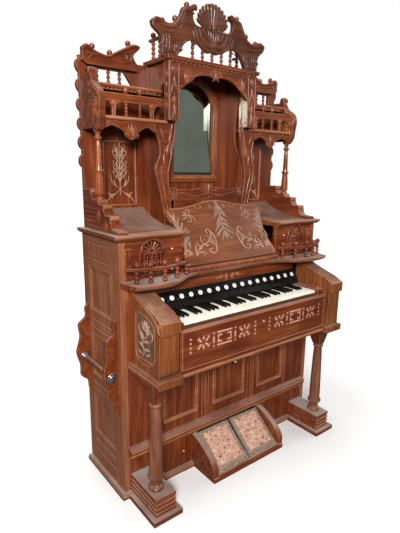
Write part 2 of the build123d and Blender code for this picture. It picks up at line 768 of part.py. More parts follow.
# Backboard of the high top, with a sunk panel and a balustered window in each side tier
bracket_t = 26
tier_outer = console_x - bracket_t / 2
tier_inner = centre_half
tier_front = case_front + leg_plane
lower_shelf_z = case_top_z + high_top_h * 0.654
upper_shelf_z = lower_shelf_z + high_top_h * 0.183
board_foot_half = case_half - 12
board_edge_r = 26
board_bump = 14
bump_count = 6
bump_low_z = lower_shelf_z - 220
back_panel_sunk = 4
back_panel_w = 162
back_panel_low_z = case_top_z + 90
back_panel_high_z = lower_shelf_z - 90
window_low_z = upper_shelf_z + 16
window_high_z = window_low_z + 59
window_inner = tier_outer - 226
window_outer = tier_outer - 22
window_lean = 42         # how far the inner end of a window leans outwards
window_balusters = 3
baluster = beads(window_high_z - window_low_z, 3, 4, 7)
with BuildPart() as backboard:
    board(-board_foot_half, board_foot_half, case_front + board_plane, case_back, case_top_z, cornice_z)
    bump_pitch = (cornice_z - bump_low_z) / bump_count
    with BuildSketch(front_plane(case_front + board_plane)):
        for step in range(bump_count):
            for hand in (-1, 1):
                with Locations((hand * (board_foot_half - board_edge_r),
                                bump_low_z + bump_pitch * (step + 0.5))):
                    Ellipse(board_edge_r + board_bump, bump_pitch * 0.48)
    extrude(amount=-board_t)
    for hand in (-1, 1):
        with BuildSketch(front_plane(case_front + board_plane)):
            with BuildLine():
                Polyline((hand * window_inner, window_low_z), (hand * window_outer, window_low_z),
                         (hand * window_outer, window_high_z),
                         (hand * (window_inner + window_lean), window_high_z), close=True)
            make_face()
        extrude(amount=-board_t, mode=Mode.SUBTRACT)
        for step in range(window_balusters):
            x = window_outer - (window_outer - window_inner - window_lean) * (step + 0.6) / window_balusters
            turning(hand * x, case_back - board_t / 2, window_low_z, baluster)
        with BuildSketch(front_plane(case_front + board_plane)):
            with Locations((hand * (tier_outer + tier_inner + 12) / 2,
                            (back_panel_low_z + back_panel_high_z) / 2)):
                Rectangle(back_panel_w, back_panel_high_z - back_panel_low_z)
        extrude(amount=-back_panel_sunk, taper=panel_bevel, mode=Mode.SUBTRACT)
backboard.part.label = "backboard"
export_step(backboard.part, "parts/backboard.step")


# Side pediments: swept crowns over the side tiers, with three balls
ped_outer = board_foot_half - 7
ped_nose = tier_inner + 60
ped_h = 36
ped_t = 24
with BuildPart() as side_pediments:
    with BuildSketch(front_plane(case_front + board_plane - ped_t)):
        with BuildLine():
            end = Spline((ped_outer, cornice_z + 26), (ped_outer - 14, cornice_z + 40),
                         (ped_outer - 48, cornice_z + 26), (ped_outer - 118, cornice_z + 12))
            rise = Spline(end @ 1, (ped_nose + 110, cornice_z + 36), (ped_nose + 62, cornice_z + 62),
                          (ped_nose + 26, cornice_z + 74), (ped_nose, cornice_z + 68))
            curl = Spline(rise @ 1, (ped_nose + 16, cornice_z + 46), (ped_nose + 34, cornice_z + 26),
                          (ped_nose + 26, cornice_z + 4), (ped_nose + 6, cornice_z - 16))
            Polyline(curl @ 1, (ped_nose + 6, cornice_z - ped_h), (ped_outer - 20, cornice_z - ped_h),
                     (ped_outer, cornice_z - 22), end @ 0)
        make_face()
    extrude(amount=-ped_t)
    for x, z in ((ped_outer - 48, cornice_z + 24), (ped_outer - 128, cornice_z + 10),
                 (ped_nose + 56, cornice_z + 62)):
        turning(x, case_front + board_plane - ped_t / 2, z, finial)
    mirror(about=Plane.YZ)
side_pediments.part.label = "side_pediments"
export_step(side_pediments.part, "parts/side_pediments.step")


# Stepped consoles on the case top: hollow risers between the treads
console_w = 44
console_treads = ((0.227, 0.364, 68), (0.409, 0.53, 110), (0.56, 0.712, 128), (0.757, 1, 170))
riser_hollow = 0.35
with BuildPart() as stepped_consoles:
    with BuildSketch(side_plane(console_x - console_w / 2)):
        with BuildLine():
            back = Polyline((case_front + board_plane, case_top_z), (case_front, case_top_z),
                            (case_front, case_top_z + 13), (case_front + 58, case_top_z + 18))
            y, z = case_front + 58, case_top_z + 18
            for near, far, height in console_treads:
                tread_y, tread_z = case_front + board_plane * near, case_top_z + height
                hollow = ThreePointArc((y, z), (y + (tread_y - y) * (1 - riser_hollow),
                                                z + (tread_z - z) * riser_hollow), (tread_y, tread_z))
                y, z = case_front + board_plane * far, tread_z
                Line(hollow @ 1, (y, z))
            Line((y, z), back @ 0)
        make_face()
    extrude(amount=console_w)
    mirror(about=Plane.YZ)
stepped_consoles.part.label = "stepped_consoles"
export_step(stepped_consoles.part, "parts/stepped_consoles.step")


# Coves between the consoles and the centre box
cove_rise = 78
cove_reach = 48
with BuildPart() as cove:
    with BuildSketch(side_plane(well_half)):
        with BuildLine():
            hollow = Spline((case_front + board_plane, case_top_z + cove_rise),
                            (case_front + board_plane - 115, case_top_z + cove_rise * 0.36),
                            (case_front + cove_reach, case_top_z + 5))
            Polyline(hollow @ 1, (case_front + cove_reach, case_top_z),
                     (case_front + board_plane, case_top_z), hollow @ 0)
        make_face()
    extrude(amount=console_x - console_w / 2 - well_half)
    mirror(about=Plane.YZ)
cove.part.label = "cove"
export_step(cove.part, "parts/cove.step")


# Turned side posts between the consoles and the brackets
bracket_w = 34           # width of a bracket's foot on its post
post_foot_z = case_top_z + 128
post_top_z = lower_shelf_z - 64
post_h = post_top_z - post_foot_z
post_y = tier_front + bracket_w / 2
post_outline = ((0, 17), (8, 18), (14, 12), (20, 17), (28, 19), (112, 15), (116, 20), (124, 20), (128, 14),
                (post_h - 36, 10), (post_h - 30, 16), (post_h - 22, 16), (post_h - 18, 10), (post_h, 14))
with BuildPart() as side_posts:
    turning(console_x, post_y, post_foot_z, post_outline)
    mirror(about=Plane.YZ)
side_posts.part.label = "side_posts"
export_step(side_posts.part, "parts/side_posts.step")


# Side brackets: swept boards from the posts up to a hook with a turned roll
bracket_over = 40        # how far the belly of a bracket stands in front of the tier
roll_r = 12
roll_over = 8
with BuildPart() as side_brackets:
    with BuildSketch(side_plane(console_x - bracket_t / 2)):
        with BuildLine():
            belly = Spline((tier_front, post_top_z), (tier_front - bracket_over * 0.75, lower_shelf_z - 19),
                           (tier_front - bracket_over * 0.85, lower_shelf_z + 15),
                           (tier_front - bracket_over, lower_shelf_z + 58),
                           (tier_front - 18, lower_shelf_z + 98), (tier_front + 9, lower_shelf_z + 115),
                           (tier_front + 33, upper_shelf_z + 11))
            hook = Spline(belly @ 1, (tier_front + 40, upper_shelf_z + 34),
                          (tier_front + 50, upper_shelf_z + 56), (tier_front + 68, upper_shelf_z + 44),
                          (tier_front + 72, upper_shelf_z + 29))
            Polyline(hook @ 1, (case_front + board_plane, upper_shelf_z + 29),
                     (case_front + board_plane, lower_shelf_z - 50),
                     (tier_front + bracket_w, lower_shelf_z - 50),
                     (tier_front + bracket_w, post_top_z), belly @ 0)
        make_face()
    extrude(amount=bracket_t)
    with Locations(Location((console_x, tier_front + 51, upper_shelf_z + 40), (0, 90, 0))):
        Cylinder(roll_r, bracket_t + 2 * roll_over)
    mirror(about=Plane.YZ)
side_brackets.part.label = "side_brackets"
export_step(side_brackets.part, "parts/side_brackets.step")


# Shelves of the side tiers: the lower one over a scrolled apron, the upper one over dentils
tier_shelf_t = 14
apron_t = 18
apron_h = 92
apron_inner = tier_inner + 62
upper_tier_front = tier_front + 32
dentil_w = 10
dentil_pitch = 19
dentil_h = 9
dentil_proud = 5
tier_dentils = 14
with BuildPart() as side_shelves:
    board(tier_inner, tier_outer, tier_front - 10, case_front + board_plane,
          lower_shelf_z - tier_shelf_t, lower_shelf_z)
    with BuildSketch(front_plane(tier_front)):
        with BuildLine():
            apron_low_z = lower_shelf_z - apron_h
            outer_arch = Spline((tier_outer, apron_low_z + 34), (tier_outer - 45, apron_low_z + 54),
                                (tier_outer - 104, apron_low_z + 30), (tier_outer - 122, apron_low_z + 8))
            drop = ThreePointArc(outer_arch @ 1, (tier_outer - 137, apron_low_z),
                                 (tier_outer - 152, apron_low_z + 8))
            inner_arch = Spline(drop @ 1, (tier_outer - 168, apron_low_z + 30),
                                (apron_inner + 36, apron_low_z + 54), (apron_inner, apron_low_z + 37))
            Polyline(inner_arch @ 1, (apron_inner, lower_shelf_z - tier_shelf_t),
                     (tier_outer, lower_shelf_z - tier_shelf_t), outer_arch @ 0)
        make_face()
    extrude(amount=-apron_t)
    board(tier_inner, tier_outer, upper_tier_front, case_front + board_plane,
          upper_shelf_z - tier_shelf_t, upper_shelf_z)
    board(tier_inner, tier_outer, upper_tier_front + 2 * dentil_proud, case_front + board_plane,
          upper_shelf_z - tier_shelf_t - dentil_h, upper_shelf_z - tier_shelf_t)
    with BuildSketch(front_plane(upper_tier_front + 2 * dentil_proud)):
        with Locations(((tier_inner + tier_outer) / 2, upper_shelf_z - tier_shelf_t - dentil_h / 2)):
            with GridLocations(dentil_pitch, 1, tier_dentils, 1):
                Rectangle(dentil_w, dentil_h)
    extrude(amount=dentil_proud)
    mirror(about=Plane.YZ)
side_shelves.part.label = "side_shelves"
export_step(side_shelves.part, "parts/side_shelves.step")


# Arcades between the tier shelves: a rail on two flared pillars, and two spindles with balls
arcade_y = tier_front + 15
arcade_t = 14
arcade_low_z = lower_shelf_z + 58
arcade_high_z = lower_shelf_z + 92
arcade_flare = 26
arcade_pillars = ((tier_outer - 59, 17), (apron_inner + 6, 18))
arcade_spindles = (tier_outer - 119, tier_outer - 186)
arcade_spindle = beads(arcade_low_z - lower_shelf_z, 4, 4, 8.5)
with BuildPart() as side_arcades:
    board(tier_inner, tier_outer, arcade_y - arcade_t / 2, arcade_y + arcade_t / 2,
          arcade_low_z, arcade_high_z)
    with BuildSketch(front_plane(arcade_y - arcade_t / 2)):
        for x, width in arcade_pillars:
            with BuildLine():
                inner = ThreePointArc((x - width / 2 - arcade_flare, arcade_low_z),
                                      (x - width / 2 - arcade_flare * 0.3, arcade_low_z - arcade_flare * 0.3),
                                      (x - width / 2, arcade_low_z - arcade_flare))
                outer = ThreePointArc((x + width / 2, arcade_low_z - arcade_flare),
                                      (x + width / 2 + arcade_flare * 0.3, arcade_low_z - arcade_flare * 0.3),
                                      (x + width / 2 + arcade_flare, arcade_low_z))
                Polyline(inner @ 1, (x - width / 2, lower_shelf_z), (x + width / 2, lower_shelf_z), outer @ 0)
                Line(outer @ 1, inner @ 0)
            make_face()
    extrude(amount=-arcade_t)
    for x in arcade_spindles:
        turning(x, arcade_y, lower_shelf_z, arcade_spindle)
        turning(x, arcade_y, arcade_high_z, finial)
    mirror(about=Plane.YZ)
side_arcades.part.label = "side_arcades"
export_step(side_arcades.part, "parts/side_arcades.step")


# Side walls of the centre box, cut back behind the legs between the tier shelves and the desk rail
wall_t = 16
wall_front = tier_front + apron_t
wall_set_back = 58
wall_gap_low_z = lower_shelf_z - 150
wall_gap_high_z = upper_shelf_z + 30
with BuildPart() as centre_sides:
    with BuildSketch(side_plane(centre_half - wall_t)):
        with BuildLine():
            low = Polyline((case_front + board_plane, case_top_z), (wall_front, case_top_z),
                           (wall_front, wall_gap_low_z))
            notch = Spline(low @ 1, (wall_front + wall_set_back * 0.5, wall_gap_low_z + 22),
                           (wall_front + wall_set_back, lower_shelf_z - 70),
                           (wall_front + wall_set_back, upper_shelf_z - 60),
                           (wall_front + wall_set_back * 0.5, wall_gap_high_z - 12),
                           (wall_front, wall_gap_high_z))
            Polyline(notch @ 1, (wall_front, cornice_z), (case_front + board_plane, cornice_z), low @ 0)
        make_face()
    extrude(amount=wall_t)
    mirror(about=Plane.YZ)
centre_sides.part.label = "centre_sides"
export_step(centre_sides.part, "parts/centre_sides.step")


# Front of the centre box: canopy with a lobed arch, pilasters, swept legs and the rail over the desk
canopy_t = 18
canopy_half = centre_half + 12
pilaster_inner = canopy_half - 57
canopy_foot_z = lower_shelf_z
hood_foot_z = cornice_z - 145
hood_cusp_x = 127
hood_cusp_z = cornice_z - 60
hood_crown_z = cornice_z - 40
rail_half = centre_half - 18
rail_low_z = case_top_z + 113
rail_end_z = case_top_z + 172
rail_dip_z = case_top_z + 162
rail_mid_z = case_top_z + 178
leg_in = centre_half - 25    # inner edge of a leg's foot
leg_out = centre_half + 12   # outer edge of a leg's foot
leg_belly = 58               # how far the belly of a leg stands out past the wall
leg_h = lower_shelf_z - rail_end_z
with BuildPart() as centre_front:
    with BuildSketch(front_plane(case_front + centre_reach)):
        with BuildLine():
            left_foot = ThreePointArc((-pilaster_inner - 10, hood_foot_z),
                                      (-pilaster_inner + 6, hood_foot_z + 28),
                                      (-hood_cusp_x - 48, hood_foot_z + 49))
            left_lobe = ThreePointArc(left_foot @ 1, (-hood_cusp_x - 26, hood_cusp_z - 12),
                                      (-hood_cusp_x, hood_cusp_z))
            left_top = ThreePointArc(left_lobe @ 1, (-hood_cusp_x * 0.5, hood_crown_z), (0, hood_crown_z - 8))
            right_top = ThreePointArc(left_top @ 1, (hood_cusp_x * 0.5, hood_crown_z),
                                      (hood_cusp_x, hood_cusp_z))
            right_lobe = ThreePointArc(right_top @ 1, (hood_cusp_x + 26, hood_cusp_z - 12),
                                       (hood_cusp_x + 48, hood_foot_z + 49))
            right_foot = ThreePointArc(right_lobe @ 1, (pilaster_inner - 6, hood_foot_z + 28),
                                       (pilaster_inner + 10, hood_foot_z))
            Polyline(right_foot @ 1, (canopy_half, hood_foot_z), (canopy_half, cornice_z),
                     (-canopy_half, cornice_z), (-canopy_half, hood_foot_z), left_foot @ 0)
        make_face()
    extrude(amount=-canopy_t)
    for hand in (-1, 1):
        board(hand * pilaster_inner, hand * canopy_half, case_front + centre_reach, tier_front,
              canopy_foot_z, cornice_z)
        with BuildSketch(front_plane(tier_front)):
            with BuildLine():
                inside = Spline((hand * pilaster_inner, cornice_z),
                                (hand * pilaster_inner, lower_shelf_z - 40),
                                (hand * (pilaster_inner + 8), rail_end_z + leg_h * 0.62),
                                (hand * (centre_half - 10), rail_end_z + leg_h * 0.25),
                                (hand * (centre_half - 12), rail_end_z), (hand * leg_in, case_top_z + 90),
                                (hand * leg_in, case_top_z))
                outside = Spline((hand * leg_out, case_top_z), (hand * (centre_half + 20), case_top_z + 90),
                                 (hand * (centre_half + 50), rail_end_z + leg_h * 0.12),
                                 (hand * (centre_half + leg_belly), rail_end_z + leg_h * 0.325),
                                 (hand * (centre_half + 35), rail_end_z + leg_h * 0.51),
                                 (hand * (centre_half + 49), rail_end_z + leg_h * 0.787),
                                 (hand * apron_inner, lower_shelf_z - 40))
                Line(inside @ 1, outside @ 0)
                Polyline(outside @ 1, (hand * apron_inner, lower_shelf_z - tier_shelf_t),
                         (hand * centre_half, lower_shelf_z - tier_shelf_t), (hand * centre_half, cornice_z),
                         inside @ 0)
            make_face()
        extrude(amount=-apron_t)
    with BuildSketch(front_plane(tier_front)):
        with BuildLine():
            right_swell = Spline((rail_half, rail_end_z), (centre_half * 0.5, rail_dip_z), (0, rail_mid_z))
            left_swell = Spline(right_swell @ 1, (-centre_half * 0.5, rail_dip_z), (-rail_half, rail_end_z))
            Polyline(left_swell @ 1, (-rail_half, rail_low_z), (rail_half, rail_low_z), right_swell @ 0)
        make_face()
    extrude(amount=-apron_t)
centre_front.part.label = "centre_front"
export_step(centre_front.part, "parts/centre_front.step")


# Cornice of the centre box, over a row of dentils
cornice_half = canopy_half + 10
cornice_dentils = 21
cornice_dentil_pitch = 2 * (cornice_half - 32) / (cornice_dentils - 1)
cornice_dentil_w = 15
with BuildPart() as centre_cornice:
    board(-cornice_half, cornice_half, case_front + centre_reach - 12, case_back, cornice_z, crest_foot_z)
    rim = centre_cornice.faces().sort_by(Axis.Z)[0].edges().sort_by(Axis.Y)[:-1]
    chamfer(rim, length=cornice_t * 0.3)
    with BuildSketch(front_plane(case_front + centre_reach)):
        with Locations((0, cornice_z - dentil_h / 2)):
            with GridLocations(cornice_dentil_pitch, 1, cornice_dentils, 1):
                Rectangle(cornice_dentil_w, dentil_h)
    extrude(amount=dentil_proud)
centre_cornice.part.label = "centre_cornice"
export_step(centre_cornice.part, "parts/centre_cornice.step")


# Mirror with a round head, in a frame of two stepped mouldings on the backboard
glass_half = 130
glass_low_z = rail_mid_z + 50
glass_clear = 40         # from the head of the glass up to the cornice
glass_spring_z = cornice_z - glass_half - glass_clear
glass_t = 5
glass_seat = 0.5
frame_bands = ((32, 0, 14), (24, 8, 20), (16, 10, 24))
with BuildPart() as mirror_frame:
    for outer_w, inner_w, band_t in frame_bands:
        with BuildSketch(front_plane(case_front + board_plane)):
            for edge_w, mode in ((outer_w, Mode.ADD), (inner_w, Mode.SUBTRACT)):
                with Locations((0, (glass_low_z - edge_w + glass_spring_z) / 2)):
                    Rectangle(2 * (glass_half + edge_w), glass_spring_z - glass_low_z + edge_w, mode=mode)
                with Locations((0, glass_spring_z)):
                    Circle(glass_half + edge_w, mode=mode)
        extrude(amount=band_t)
mirror_frame.part.label = "mirror_frame"
export_step(mirror_frame.part, "parts/mirror_frame.step")

with BuildPart() as mirror_glass:
    with BuildSketch(front_plane(case_front + board_plane - glass_t)):
        with Locations((0, (glass_low_z + glass_seat + glass_spring_z) / 2)):
            Rectangle(2 * (glass_half - glass_seat), glass_spring_z - glass_low_z - glass_seat)
        with Locations((0, glass_spring_z)):
            Circle(glass_half - glass_seat)
    extrude(amount=-glass_t)
mirror_glass.part.label = "mirror"
export_step(mirror_glass.part, "parts/mirror.step")


# Crest: swan necks over a double arch, a ribbed shell in the middle and a row of spindles underneath.
# The outlines hold shares of the crest's half width and of its height over the cornice.
crest_plane = leg_plane - 18
crest_t = 22
crest_y = case_front + crest_plane + crest_t / 2
crest_half = canopy_half + 65
neck_line = ((1.0, 0.5), (0.951, 0.554), (0.765, 0.504), (0.621, 0.588), (0.554, 0.704), (0.514, 0.812),
             (0.431, 0.838), (0.324, 0.892), (0.291, 0.865))
neck_return = ((0.291, 0.865), (0.361, 0.723), (0.315, 0.588), (0.251, 0.569), (0, 0.53))
end_line = ((0.856, 0), (0.856, 0.212), (0.887, 0.308), (0.933, 0.354), (0.994, 0.412), (1.0, 0.5))
arch_line = ((0, 0.212), (0.138, 0.204), (0.22, 0.273), (0.404, 0.331), (0.581, 0.135), (0.64, 0))
crest_balls = ((0.84, 0.478), (0.64, 0.558), (0.45, 0.81))
shell_ribs = 12
shell_spread = 60        # reach of the ribs to each side of the upright, in degrees
shell_base_z = shell_top_z - crest_h * 0.52
shell_r = shell_top_z - shell_base_z
shell_slim = 0.26        # share by which the outermost ribs are shorter
rib_flare = 5.4          # half angle of a rib, in degrees
rib_root = 12
crest_spindles = ((0, 0.24), (0.174, 0.27), (0.346, 0.36))


def crest_points(shares):
    """Points on the crest's outline, from shares of its half width and height."""
    return [(crest_half * across, crest_foot_z + crest_h * up) for across, up in shares]


def rib_length(lean):
    """Length of a rib of the shell that leans by an angle from the upright."""
    return shell_r * (1 - shell_slim * (lean / shell_spread) ** 2)


with BuildPart() as crest:
    with BuildSketch(front_plane(case_front + crest_plane)):
        with BuildLine():
            Spline(*crest_points(neck_line))
            returned = Spline(*crest_points(neck_return))
            under = Spline(*crest_points(arch_line))
            finish = Spline(*crest_points(end_line))
            Line(returned @ 1, under @ 0)
            Line(under @ 1, finish @ 0)
        make_face()
    extrude(amount=-crest_t)
    for across, up in crest_balls:
        turning(crest_half * across, crest_y, crest_foot_z + crest_h * up, finial)
    for across, up in crest_spindles:
        turning(crest_half * across, crest_y, crest_foot_z, beads(crest_h * up, 4, 4, 8))
    mirror(about=Plane.YZ)
    with BuildSketch(front_plane(case_front + crest_plane + crest_t * 0.5)):
        for rib in range(shell_ribs):
            lean = -shell_spread + 2 * shell_spread * (rib + 0.5) / shell_ribs
            reach = rib_length(lean) - rib_root
            half = reach * tan(radians(rib_flare))
            with Locations((0, shell_base_z)):
                Polygon((0, 0), (reach, half), (rib_length(lean), 0), (reach, -half),
                        rotation=90 - lean, align=None)
    extrude(amount=-crest_t * 0.5)
    for rib in range(shell_ribs):
        lean = -shell_spread + 2 * shell_spread * (rib + 0.5) / shell_ribs
        reach = rib_length(lean) - rib_root
        axis = Plane(origin=(0, case_front + crest_plane + crest_t * 0.55, shell_base_z), x_dir=(0, 1, 0),
                     z_dir=(sin(radians(lean)), 0, cos(radians(lean))))
        with Locations(axis.location):
            Cone(1, reach * tan(radians(rib_flare)), reach, align=(Align.CENTER, Align.CENTER, Align.MIN))
crest.part.label = "crest"
export_step(crest.part, "parts/crest.step")


# Small galleries on the cornice
crest_rail_z = crest_foot_z + 80
crest_rail_t = 12
crest_rail_w = 14
crest_rail_x = canopy_half - 10
crest_rail_back = board_plane - 10
with BuildPart() as crest_gallery:
    for y in (case_front + crest_rail_back - 85, case_front + crest_rail_back - 30):
        turning(crest_rail_x, y, crest_foot_z, beads(crest_rail_z - crest_foot_z, 4, 5, 9))
        turning(crest_rail_x, y, crest_rail_z + crest_rail_t, finial)
    board(crest_rail_x - crest_rail_w / 2, crest_rail_x + crest_rail_w / 2,
          case_front + crest_plane + crest_t, case_front + crest_rail_back,
          crest_rail_z, crest_rail_z + crest_rail_t)
    mirror(about=Plane.YZ)
crest_gallery.part.label = "crest_gallery"
export_step(crest_gallery.part, "parts/crest_gallery.step")


# Carrying handles on both sides: two sawn boards with a bar between them.
# The outline holds shares of the reach and of the height.
handle_low_z = 384
handle_h = 440
handle_reach = 68
handle_t = 16
handle_front = 28
handle_rear = board_plane - 10
handle_bar_x = case_half + handle_reach * 0.44
handle_bar_z = handle_low_z + handle_h * 0.425
handle_bar_r = 13
handle_line = ((0, 1), (0.3, 0.945), (0.28, 0.868), (0.76, 0.798), (0.73, 0.673), (1, 0.48), (0.76, 0.309),
               (0.72, 0.207), (0.32, 0.15), (0.22, 0.07), (0, 0))
with BuildPart() as side_handles:
    for depth in (handle_front, handle_rear - handle_t):
        with BuildSketch(front_plane(case_front + depth)):
            with BuildLine():
                sawn = Spline(*[(case_half + handle_reach * out, handle_low_z + handle_h * up)
                                for out, up in handle_line])
                Line(sawn @ 1, sawn @ 0)
            make_face()
        extrude(amount=-handle_t)
    with Locations(Location((handle_bar_x, case_front + (handle_front + handle_rear) / 2, handle_bar_z),
                            (90, 0, 0))):
        Cylinder(handle_bar_r, handle_rear - handle_front - handle_t)
    mirror(about=Plane.YZ)
side_handles.part.label = "side_handles"
export_step(side_handles.part, "parts/side_handles.step")
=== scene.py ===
"""Looks of a high-top parlour reed organ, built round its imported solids.

Metres, +Z up, in the frame of the solids. The player sits on the -Y side.
"""
import math
import bpy
import bmesh
from mathutils import Matrix, Vector


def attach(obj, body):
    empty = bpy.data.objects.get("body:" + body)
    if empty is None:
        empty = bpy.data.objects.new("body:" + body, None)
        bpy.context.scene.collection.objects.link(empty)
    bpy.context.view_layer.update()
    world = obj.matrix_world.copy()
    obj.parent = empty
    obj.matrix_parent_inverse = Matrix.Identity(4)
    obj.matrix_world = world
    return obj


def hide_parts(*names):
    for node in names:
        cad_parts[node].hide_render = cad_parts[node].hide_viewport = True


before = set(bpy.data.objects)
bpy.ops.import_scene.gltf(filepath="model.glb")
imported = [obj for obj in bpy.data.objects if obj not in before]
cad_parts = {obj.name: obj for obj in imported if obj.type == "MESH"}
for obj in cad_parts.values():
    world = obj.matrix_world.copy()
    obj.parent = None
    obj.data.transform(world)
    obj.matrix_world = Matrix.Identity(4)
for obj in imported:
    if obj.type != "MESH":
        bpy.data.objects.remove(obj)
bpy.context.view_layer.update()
MM = 0.001
SIDES = ((-1, "left"), (1, "right"))

# Camera of the photograph: a tall frame, seen from the player's left
CAMERA_PLACE = (-1.3782, -1.5683, 1.426)
CAMERA_YAW, CAMERA_PITCH, CAMERA_ROLL = (math.radians(a) for a in (37.96, 12.47, 0.73))
SENSOR_MM, LENS_MM = 36, 29.38


def make_camera():
    """The camera looks between +Y and +X, a little downwards."""
    ahead = Vector((math.sin(CAMERA_YAW) * math.cos(CAMERA_PITCH),
                    math.cos(CAMERA_YAW) * math.cos(CAMERA_PITCH), -math.sin(CAMERA_PITCH)))
    right = Vector((math.cos(CAMERA_YAW), -math.sin(CAMERA_YAW), 0))
    up = right.cross(ahead)
    tilted_right = right * math.cos(CAMERA_ROLL) + up * math.sin(CAMERA_ROLL)
    tilted_up = up * math.cos(CAMERA_ROLL) - right * math.sin(CAMERA_ROLL)
    data = bpy.data.cameras.new("photo_camera")
    data.sensor_fit = "VERTICAL"
    data.sensor_height = data.sensor_width = SENSOR_MM
    data.lens = LENS_MM
    data.clip_start = 0.05
    camera = bpy.data.objects.new("photo_camera", data)
    camera.matrix_world = Matrix((tilted_right, tilted_up, -ahead)).transposed().to_4x4()
    camera.location = CAMERA_PLACE
    bpy.context.scene.collection.objects.link(camera)
    bpy.context.scene.camera = camera


def soft_light(name, place, target, size, watts):
    """A square softbox aimed at a point."""
    data = bpy.data.lights.new(name, "AREA")
    data.shape = "SQUARE"
    data.size = size
    data.energy = watts
    lamp = bpy.data.objects.new(name, data)
    lamp.location = place
    lamp.rotation_mode = "QUATERNION"
    lamp.rotation_quaternion = (Vector(target) - Vector(place)).to_track_quat("-Z", "Y")
    bpy.context.scene.collection.objects.link(lamp)


def linear(hex_colour):
    """An sRGB hex colour as the linear colour that shaders take."""
    parts = [int(hex_colour[i:i + 2], 16) / 255 for i in (1, 3, 5)]
    return [p / 12.92 if p <= 0.04045 else ((p + 0.055) / 1.055) ** 2.4 for p in parts] + [1.0]


def put(tree, kind, inputs=None, **settings):
    """Adds a node: settings are its own, inputs hold values, or sockets to link from."""
    made = tree.nodes.new(kind)
    for key, value in settings.items():
        setattr(made, key, value)
    for key, value in (inputs or {}).items():
        if isinstance(value, bpy.types.NodeSocket):
            tree.links.new(value, made.inputs[key])
        else:
            made.inputs[key].default_value = value
    return made


def new_material(name, roughness, **sockets):
    """A material with constants on its principled shader's sockets, and the place on the object to texture by."""
    material = bpy.data.materials.new(name)
    material.use_nodes = True
    tree = material.node_tree
    shader = tree.nodes["Principled BSDF"]
    shader.inputs["Roughness"].default_value = roughness
    for key, value in sockets.items():
        shader.inputs[key.replace("_", " ")].default_value = value
    return material, tree, shader, put(tree, "ShaderNodeTexCoord").outputs["Object"]


def blend_colours(tree, factor, first, second):
    """Mixes two colours, each a hex text or a socket."""
    mixed = put(tree, "ShaderNodeMix", {0: factor}, data_type="RGBA", blend_type="MIX", clamp_factor=True)
    for index, colour in ((6, first), (7, second)):
        if isinstance(colour, str):
            mixed.inputs[index].default_value = linear(colour)
        else:
            tree.links.new(colour, mixed.inputs[index])
    return mixed.outputs[2]


def ramp(tree, factor, stops):
    """A colour ramp from (position, hex colour) pairs."""
    made = put(tree, "ShaderNodeValToRGB", {"Fac": factor})
    band = made.color_ramp
    while len(band.elements) < len(stops):
        band.elements.new(0.5)
    for element, (position, colour) in zip(band.elements, stops):
        element.position = position
        element.color = linear(colour)
    return made.outputs["Color"]


def arithmetic(tree, operation, first, second, third=0.0):
    """A Math node on values or sockets."""
    return put(tree, "ShaderNodeMath", {0: first, 1: second, 2: third}, operation=operation).outputs[0]


def noise(tree, place, scale, detail=2, distortion=0):
    """Noise at a place, from 0 to 1."""
    return put(tree, "ShaderNodeTexNoise", {"Vector": place, "Scale": scale, "Detail": detail,
                                            "Distortion": distortion}).outputs[0]


def ranged(tree, value, low, high, to_low=0, to_high=1):
    """A value brought from one range into another, and kept in it."""
    return put(tree, "ShaderNodeMapRange", {"Value": value, "From Min": low, "From Max": high, "To Min": to_low,
                                            "To Max": to_high}).outputs[0]


def press(tree, shader, height, strength, distance):
    """Presses a fine relief, as deep as a distance in metres, into a shader's surface."""
    relief = put(tree, "ShaderNodeBump", {"Height": height, "Strength": strength, "Distance": distance}).outputs[0]
    tree.links.new(relief, shader.inputs["Normal"])


# Walnut: the figure's bands are about 25 mm wide and 300 mm long, its streaks 4 mm by 120 mm.
# Real pores, under 1 mm wide, wouldn't show in the render, so the streaks stand for them.
FIGURE_MM = 25
FIGURE_RUN_MM = 300
STREAK_MM = 4
STREAK_RUN_MM = 120
DUST = "#a3968a"
FIGURE_SHARE, STREAK_SHARE, BLOTCH_SHARE, BLOTCH_MEAN = 0.55, 0.45, 0.35, 0.17
LIES_FLAT = 0.55        # how far a face looks up before dust stays on it


